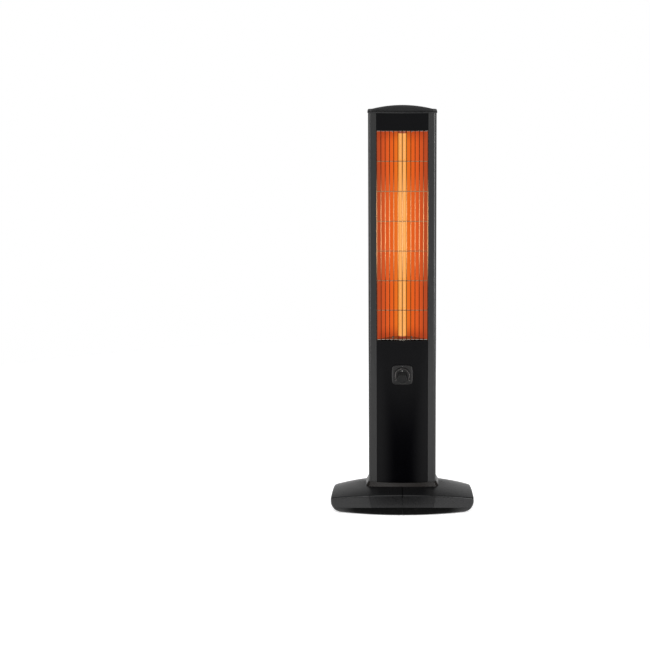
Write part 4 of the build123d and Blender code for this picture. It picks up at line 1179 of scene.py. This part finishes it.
@dataclass
class Studio:
    """The pale floor, the soft lamps and the camera at the photograph's angle."""

    image_size: float = 650.0
    focal_pixels: float = 2074.7
    middle_x_pixel: float = 402.3
    middle_y_pixel: float = 309.1
    sensor: float = 36.0
    distance: float = 5.1
    pitch: float = 10.0
    aim_height: float = 0.5
    floor_radius: float = 2.2
    floor_colour: str = "#e6e6e6"
    floor_glow: float = 0.6
    room_light: float = 0.45
    upper_room: float = 0.16
    lower_room: float = 1.0
    horizon_width: float = 0.06
    card_near: float = 0.2
    card_far: float = 1.95
    card_foot: float = 0.04
    card_spread: float = 0.6
    card_lift: float = 0.5 * MM
    card_solid: float = 0.25
    card_fade: float = 0.7
    card_colour: str = "#030303"
    floor_sides: int = 96
    horizon_blend: float = 0.04
    lamps: tuple[SoftLamp, ...] = (
        SoftLamp("key", (-1.3, -1.9, 2.3), TOWER_MIDDLE, 1.4, 1.4, 22.0),
        SoftLamp("fill", (1.9, -1.6, 1.6), TOWER_MIDDLE, 1.2, 1.2, 15.0),
        SoftLamp("boom", (0.0, -1.6, 1.7), TOWER_FOOT, 1.4, 1.5, 11.0),
        SoftLamp("left_strip", (-1.9, -1.15, 0.8), TOWER_MIDDLE, 0.3, 1.6, 12.0),
        SoftLamp("right_strip", (1.9, -1.15, 0.8), TOWER_MIDDLE, 0.3, 1.6, 18.0),
        SoftLamp("rear_left", (-0.6, 1.5, 0.6), TOWER_FOOT, 0.8, 0.9, 1.0),
        SoftLamp("rear_right", (0.6, 1.5, 0.6), TOWER_FOOT, 0.8, 0.9, 1.0),
    )

    def camera(self) -> None:
        """Places the camera by the photograph's distance, pitch and frame."""
        data = bpy.data.cameras.new("camera")
        data.sensor_width = self.sensor
        data.lens = self.sensor * self.focal_pixels / self.image_size
        data.shift_x = (self.image_size / 2 - self.middle_x_pixel) / self.image_size
        data.shift_y = (self.middle_y_pixel - self.image_size / 2) / self.image_size
        data.clip_end = 100.0
        camera = linked("camera", data)
        down = math.radians(self.pitch)
        way = Vector((0.0, -math.cos(down), math.sin(down)))
        camera.location = Vector((0.0, 0.0, self.aim_height)) + self.distance * way
        camera.rotation_euler = (math.pi / 2 - down, 0.0, 0.0)
        bpy.context.scene.camera = camera

    def seen_directly(self, tree: NodeTree) -> tuple[NodeSocket, NodeSocket]:
        """Returns whether a ray comes from the camera, and whether from gloss or through glass."""
        path = add_node(tree, "ShaderNodeLightPath").node.outputs
        others = (path["Is Glossy Ray"], path["Is Transmission Ray"])
        return path["Is Camera Ray"], add_node(tree, MATH, others, operation="MAXIMUM")

    def floor(self) -> None:
        """Makes the round pale floor, which keeps the heater's shadow."""
        turns = [2 * math.pi * step / self.floor_sides for step in range(self.floor_sides)]
        radius = self.floor_radius
        points = [(radius * math.cos(turn), radius * math.sin(turn), 0.0) for turn in turns]
        floor = linked("floor", mesh_from("floor", points, [range(self.floor_sides)]))
        material = bpy.data.materials.new("pale_floor")
        tree = empty_tree(material)
        add = partial(add_node, tree)
        camera, other = self.seen_directly(tree)
        seen = add(MATH, (camera, other), operation="MAXIMUM")
        glow = add(MATH, (seen, self.floor_glow), operation="MULTIPLY")
        matt = add("ShaderNodeBsdfDiffuse", (linear(self.floor_colour),))
        light = add("ShaderNodeEmission", (linear(WHITE), glow))
        both = add("ShaderNodeAddShader", (matt, light))
        add("ShaderNodeOutputMaterial", (both,))
        floor.data.materials.append(material)

    def dark_card(self) -> None:
        """Lays a dark card before the heater that only gloss sees, so that the panel's middle stays deep.

        The card thins out towards its sides and its far end, so that no edge of it shows.
        """
        reaches = (self.card_near, self.card_far)
        ends = [(self.card_foot + self.card_spread * reach, -reach) for reach in reaches]
        points = [(side * wide, y, self.card_lift) for side in (-1, 1) for wide, y in ends]
        card = linked("dark_card", mesh_from("dark_card", points, [(0, 2, 3, 1)]))
        material = bpy.data.materials.new("matt_black_card")
        tree = empty_tree(material)
        add = partial(add_node, tree)
        place = add("ShaderNodeTexCoord").node.outputs["Object"]
        across, along, _ = add("ShaderNodeSeparateXYZ", (place,)).node.outputs
        wide = add(MATH, (along, -self.card_spread, self.card_foot), operation="MULTIPLY_ADD")
        side = add(MATH, (across,), operation="ABSOLUTE")
        share = add(MATH, (side, wide), operation="DIVIDE")
        far = add(RANGE, (along, -self.card_fade, -self.card_far), **SMOOTH)
        aside = add(RANGE, (share, self.card_solid, 1.0), **SMOOTH)
        thin = add(MATH, (aside, far), operation="MAXIMUM")
        clear = add("ShaderNodeBsdfTransparent")
        matt = add("ShaderNodeBsdfDiffuse", (linear(self.card_colour),))
        graded = add("ShaderNodeMixShader", (thin, matt, clear))
        add("ShaderNodeOutputMaterial", (graded,))
        card.data.materials.append(material)
        card.visible_camera = card.visible_diffuse = card.visible_shadow = False

    def world(self) -> None:
        """Makes the room: white behind everything, and soft and grey where gloss looks up."""
        world = bpy.data.worlds.new("studio")
        tree = empty_tree(world)
        add = partial(add_node, tree)
        camera, other = self.seen_directly(tree)
        way = add("ShaderNodeTexCoord").node.outputs["Generated"]
        height = add("ShaderNodeSeparateXYZ", (way,)).node.outputs["Z"]
        squared = add(MATH, (height, height), operation="MULTIPLY")
        fall = add(MATH, (squared, -1 / self.horizon_width**2), operation="MULTIPLY")
        horizon = add(MATH, (fall,), operation="EXPONENT")
        levels = (height, -self.horizon_blend, self.horizon_blend, self.lower_room, self.upper_room)
        room = add(RANGE, levels, **SMOOTH)
        gloss = add(MATH, (horizon, room), operation="MAXIMUM")
        less = add(MATH, (gloss, self.room_light), operation="SUBTRACT")
        plain = add(MATH, (other, less, self.room_light), operation="MULTIPLY_ADD")
        rest = add(MATH, (1.0, plain), operation="SUBTRACT")
        level = add(MATH, (camera, rest, plain), operation="MULTIPLY_ADD")
        light = add("ShaderNodeBackground", (linear(WHITE), level))
        add("ShaderNodeOutputWorld", (light,))
        bpy.context.scene.world = world

    def build(self) -> None:
        """Builds the whole studio."""
        self.camera()
        self.world()
        self.floor()
        self.dark_card()
        for lamp in self.lamps:
            lamp.build()
        bpy.context.scene.view_settings.view_transform = "Standard"


def main() -> None:
    """Builds the studio and every sub-assembly in order."""
    for part in (Studio(), Column(), Guard(), Lamp(), Dial(), Base(), Innards()):
        part.build()
        log.info("finished the %s", type(part).__name__.lower())


if __name__ == "__main__":
    logging.basicConfig(level=logging.INFO, format="%(message)s")
    main()
